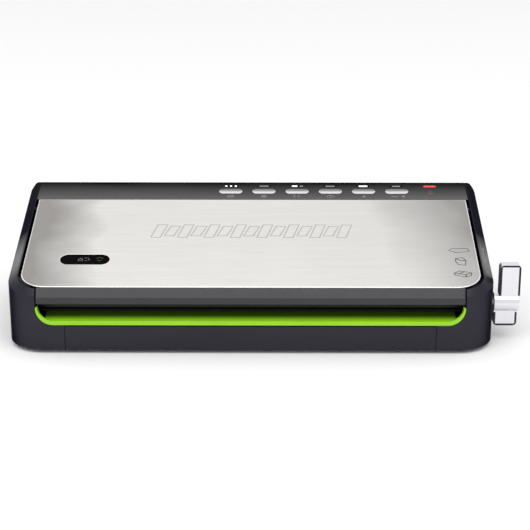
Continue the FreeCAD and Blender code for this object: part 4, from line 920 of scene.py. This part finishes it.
class SEALER_OT_plate(bpy.types.Operator):
    """Roll the brushed plate's edge and lay the raised pattern on it"""

    bl_idname = "sealer.plate"
    bl_label = "Brushed plate"

    def execute(self, context):
        look = context.scene.sealer_plate
        left, right = reach("lid_plate", RIGHT)
        steel = plate_metal("plate_brushed", tuple(look.steel), tuple(look.shade), MIDDLE, (right - left) / 2)
        rolled = polished_chrome("plate_edge", (0.95, 0.95, 0.95), 0.16)
        soften("lid_plate", look.roll, steel, segments=4, angle=50, edge=rolled)
        raised = []
        span, behind_middle = 178 * MM, 17 * MM
        pitch = span / look.lozenges
        half = 0.36 * pitch / MM
        lean, low_half, tall_half = 2.8, 8.0, 10.5
        row = (PLATE_FRONT + PLATE_REAR) / 2 + behind_middle
        for i in range(look.lozenges):
            x = MIDDLE + (i - (look.lozenges - 1) / 2) * pitch
            tall = low_half if i % 2 else tall_half
            raised.append((at([(-half - lean, -tall), (half - lean, -tall), (half + lean, tall),
                               (-half + lean, tall)], x, row), True))
        pressed = brushed_metal("pattern_brushed", dark(tuple(look.steel), 0.55), rough=0.24)
        draw_lines("pressed_pattern", raised, look.raise_width, pressed, "lid_plate", PLATE_TOP)
        return {"FINISHED"}


class SEALER_OT_plate_marks(bpy.types.Operator):
    """Print three small bag figures near the plate's right edge and three ticks on the cheek"""

    bl_idname = "sealer.plate_marks"
    bl_label = "Plate marks"

    def execute(self, context):
        look = context.scene.sealer_plate
        ink = printed_ink("plate_ink", tuple(look.ink))
        figure_x, tick_x = MIDDLE + 183 * MM, MIDDLE + 205 * MM
        figure_rows, tick_rows = (71.0, 53.0, 34.0), (42.0, 61.0, 79.0)
        clear_of_cheek = 20 * MM
        flat_bag = [([(-9, -0.5), (-5, 3.6), (-3.6, 2.2), (7.6, 3.0), (9.0, -1.6), (-3.2, -3.8),
                      (-5.2, -2.0)], True)]
        full_bag = [([(-4.4, 4.6), (1.6, 6.6), (4.6, 1.6), (3.4, -5.6), (-2.6, -4.4), (-4.4, 0)], True),
                    ([(-4.4, 4.6), (-0.6, 2.0), (4.6, 1.6)], False)]
        slot_bag = [([(-7.6, 1.2), (-2.4, 4.6), (7.6, 1.8), (6.8, -2.2), (2.2, -4.6), (-7.0, -1.8)], True),
                    ([(-7.6, 1.2), (2.4, -1.0), (7.6, 1.8)], False), ([(2.4, -1.0), (2.2, -4.6)], False),
                    ([(-3.6, 0.2), (1.2, 3.4)], False)]
        strokes = [stroke for figure, back in zip((flat_bag, full_bag, slot_bag), figure_rows)
                   for stroke in set_down(figure, figure_x, FRONT_EDGE + back * MM)]
        draw_lines("plate_marks", strokes, look.line, ink, "lid_plate", PLATE_TOP)
        pale = printed_ink("cheek_ink", (0.30, 0.29, 0.28))
        tick = [([(-1.2, -2.4), (0.9, -2.4), (1.2, 0), (0.9, 2.4)], False),
                ([(-1.0, 0), (1.0, 0.6)], False)]
        for i, back in enumerate(tick_rows):
            above = RIGHT * tick_x + BACK * (FRONT_EDGE + back * MM) + UP * (PLATE_TOP + clear_of_cheek)
            place, normal = fall_on("base_shell", above)
            across = normal.cross(BACK).normalized() * -1
            turn = Matrix((across, BACK, normal)).transposed().to_4x4()
            draw_lines(f"cheek_mark_{i + 1}", set_down(tick, 0, 0), 0.45 * MM, pale, "base_shell", 0,
                       Matrix.Translation(place) @ turn)
        return {"FINISHED"}


class SEALER_OT_window(bpy.types.Operator):
    """Set the smoked window, its black rim and its small marks into the plate"""

    bl_idname = "sealer.window"
    bl_label = "Window"

    def execute(self, context):
        edge, line = 0.25 * MM, 0.55 * MM
        soften("window_bezel", edge, tinted_window("rim_black", (0.008, 0.008, 0.008)), segments=2, angle=50)
        soften("window_lens", edge, tinted_window("window_smoked", (0.006, 0.008, 0.005)), angle=50)
        top = reach("window_lens", UP)[1]
        x, y = middle("window_lens", RIGHT), middle("window_lens", BACK)
        ink = printed_ink("window_ink", (0.16, 0.17, 0.16))
        marks = [([(-5.6, -2.0), (-1.8, -2.0), (-1.8, 0.6), (-5.6, 0.6)], True),
                 (arc(1.1, 0, 180, 6, -3.7, 0.6), False),
                 ([(-0.6, 2.2), (3.2, 2.2), (3.2, -0.6), (5.0, -0.6)], False),
                 ([(0.4, -1.8), (2.4, -1.8)], False)]
        draw_lines("window_marks", set_down(marks, x, y), line, ink, "window_lens", top)
        green = printed_ink("window_ink_green", (0.05, 0.08, 0.03))
        ring = [(arc(3.0, 20, 160, 8, 13.0, 0.0), False), (arc(1.6, 200, 340, 8, 13.0, -0.4), False)]
        draw_lines("window_signs", set_down(ring, x, y), line, green, "window_lens", top)
        return {"FINISHED"}


# ---- lever --------------------------------------------------------------------------------------------

class SEALER_OT_lever(bpy.types.Operator):
    """Round and plate the side lever, and finish the latch behind it"""

    bl_idname = "sealer.lever"
    bl_label = "Lever and latch"

    def execute(self, context):
        look = context.scene.sealer_lever
        plated = lever_chrome("lever_chrome", tuple(look.chrome), tuple(look.painted_edge_reflection), look.line)
        soften("lever_handle", look.edge, plated, segments=4, angle=40)
        steel = machined_metal("latch_steel", (0.5, 0.5, 0.51))
        for node in ("latch_shaft", "left_hook", "right_hook", "retaining_clip"):
            give(nodes[node], steel)
        give(nodes["hinge_pins"], moulded_plastic("pin_black", (0.01, 0.01, 0.011)))
        pale = moulded_plastic("acetal_white", (0.62, 0.61, 0.57), rough=0.42)
        for node in ("shaft_bushes", "switch_cam", "latch_switch"):
            give(nodes[node], pale)
        return {"FINISHED"}


# ---- under the lid ------------------------------------------------------------------------------------

class SEALER_OT_chamber(bpy.types.Operator):
    """Finish the deck, the gaskets, the drip tray and the seal bar"""

    bl_idname = "sealer.chamber"
    bl_label = "Vacuum chamber"

    def execute(self, context):
        deck = moulded_plastic("deck_dark", (0.011, 0.011, 0.012), rough=0.5, grain=1200.0, depth=0.02 * MM,
                               shine=0.15)
        give(nodes["chamber_deck"], deck)
        soften("drip_tray", 0.25 * MM, moulded_plastic("tray_grey", (0.05, 0.05, 0.053), rough=0.35),
               segments=2, angle=50)
        foam = closed_foam("gasket_grey", (0.085, 0.085, 0.09))
        soften("lower_gasket", 0.7 * MM, foam, angle=50)
        give(nodes["upper_gasket"], foam)
        soften("pressure_pad", 0.6 * MM, soft_rubber("pad_silicone", (0.30, 0.055, 0.03), 0.5), angle=50)
        give(nodes["seal_bar"], extruded_metal("bar_aluminium", (0.72, 0.72, 0.73)))
        give(nodes["heating_strip"], machined_metal("strip_metal", (0.42, 0.40, 0.37)))
        give(nodes["release_tape"], woven_tape("tape_cloth", (0.36, 0.25, 0.14)))
        give(nodes["bar_terminals"], machined_metal("terminal_brass", (0.6, 0.44, 0.18)))
        return {"FINISHED"}


# ---- inside the housing -------------------------------------------------------------------------------

class SEALER_OT_workings(bpy.types.Operator):
    """Finish the pump, the hoses, the boards, the transformer and the screws"""

    bl_idname = "sealer.workings"
    bl_label = "Workings"

    def execute(self, context):
        pale = moulded_plastic("nylon_white", (0.55, 0.54, 0.5), rough=0.4)
        steel = machined_metal("zinc_steel", (0.52, 0.52, 0.5))
        hose = soft_rubber("hose_silicone", (0.42, 0.42, 0.4), 0.3)
        board = circuit_board("board_green", (0.012, 0.085, 0.03))
        finishes = {
            "pump_head": pale, "vacuum_port": pale, "release_valve": pale, "key_switches": pale,
            "pump_motor": steel, "pump_crank": steel, "valve_plunger": steel,
            "panel_screws": steel, "bottom_screws": steel, "lid_screws": steel, "board_screws": steel,
            "pump_mounts": soft_rubber("mount_rubber", (0.02, 0.02, 0.02)),
            "vent_hose": hose, "vacuum_hose": hose, "control_board": board, "power_board": board,
            "transformer_core": stacked_sheets("core_iron", (0.09, 0.09, 0.1)),
            "transformer_winding": wound_wire("winding_copper", (0.55, 0.22, 0.08)),
            "smoothing_capacitor": moulded_plastic("capacitor_sleeve", (0.02, 0.03, 0.08), rough=0.25),
            "power_relay": moulded_plastic("relay_case", (0.02, 0.05, 0.12), rough=0.35),
        }
        for node, material in finishes.items():
            give(nodes[node], material)
        return {"FINISHED"}


# ---- stage --------------------------------------------------------------------------------------------

SEALER_HEART = Vector((0, 0, 0.05))
SOFTBOX_DEPTH = 0.9
CAMERA_PLACE = (0.00635, -1.287, 0.4874)
CAMERA_TURN = math.radians(0.29)
FLOOR_SIDE = 14


def softbox(name, place, width, power):
    """A rectangular area light that points at the sealer."""
    light = bpy.data.lights.new(name, "AREA")
    light.shape = "RECTANGLE"
    light.size = width
    light.size_y = SOFTBOX_DEPTH
    light.energy = power
    lamp = bpy.data.objects.new(name, light)
    lamp.location = place
    lamp.rotation_euler = (SEALER_HEART - Vector(place)).to_track_quat("-Z", "Y").to_euler()
    bpy.context.scene.collection.objects.link(lamp)


class SEALER_OT_stage(bpy.types.Operator):
    """Lay the floor, hang the soft lights and place the camera"""

    bl_idname = "sealer.stage"
    bl_label = "Stage"

    def execute(self, context):
        scene = context.scene
        look = scene.sealer_stage
        bpy.ops.object.select_all(action="DESELECT")
        bpy.ops.mesh.primitive_plane_add(size=FLOOR_SIDE)
        floor = context.active_object
        floor.name = "studio_floor"
        give(floor, studio_floor("floor_paint", tuple(look.floor)))
        softbox("top_softbox", (0, -0.75, 1.45), 2.4, look.top_light)
        for name, x in (("left_softbox", -2.0), ("right_softbox", 2.0)):
            softbox(name, (x, 1.0, 0.75), 1.3, look.side_light)
        world = bpy.data.worlds.new("room")
        world.use_nodes = True
        shade = world.node_tree.nodes["Background"]
        shade.inputs["Color"].default_value = (1, 1, 1, 1)
        shade.inputs["Strength"].default_value = look.sky
        scene.world = world
        scene.view_settings.view_transform = "Standard"
        lens = bpy.data.cameras.new("camera")
        lens.lens = look.lens
        lens.sensor_width = 36
        lens.clip_start = 0.05
        lens.clip_end = 50
        camera = bpy.data.objects.new("camera", lens)
        camera.location = CAMERA_PLACE
        camera.rotation_euler = (math.pi / 2 - look.down, 0, CAMERA_TURN)
        scene.collection.objects.link(camera)
        scene.camera = camera
        return {"FINISHED"}


# ---- add-on -------------------------------------------------------------------------------------------

OPERATORS = (SEALER_OT_housing, SEALER_OT_bag_guide, SEALER_OT_control_panel, SEALER_OT_buttons,
             SEALER_OT_lamps, SEALER_OT_panel_marks, SEALER_OT_lid, SEALER_OT_plate, SEALER_OT_plate_marks,
             SEALER_OT_window, SEALER_OT_lever, SEALER_OT_chamber, SEALER_OT_workings, SEALER_OT_stage)
LOOKS = {"sealer_housing": SealerHousing, "sealer_plate": SealerPlate, "sealer_controls": SealerControls,
         "sealer_lever": SealerLever, "sealer_stage": SealerStage}


class SEALER_PT_pieces(bpy.types.Panel):
    """Buttons for each piece, and the sizes and colours that they use"""

    bl_idname = "SEALER_PT_pieces"
    bl_label = "Vacuum sealer"
    bl_space_type = "VIEW_3D"
    bl_region_type = "UI"
    bl_category = "Sealer"

    def draw(self, context):
        for operator in OPERATORS:
            self.layout.operator(operator.bl_idname)
        for look in LOOKS:
            box = self.layout.box()
            values = getattr(context.scene, look)
            for name in values.__annotations__:
                box.prop(values, name)


def register():
    for group in LOOKS.values():
        bpy.utils.register_class(group)
    for name, group in LOOKS.items():
        setattr(bpy.types.Scene, name, PointerProperty(type=group))
    for item in (*OPERATORS, SEALER_PT_pieces):
        bpy.utils.register_class(item)


def unregister():
    for item in reversed((*OPERATORS, SEALER_PT_pieces)):
        bpy.utils.unregister_class(item)
    for name in LOOKS:
        delattr(bpy.types.Scene, name)
    for group in reversed(LOOKS.values()):
        bpy.utils.unregister_class(group)


def main():
    register()
    for operator in OPERATORS:
        group, name = operator.bl_idname.split(".")
        getattr(getattr(bpy.ops, group), name)()


if __name__ == "__main__":
    main()
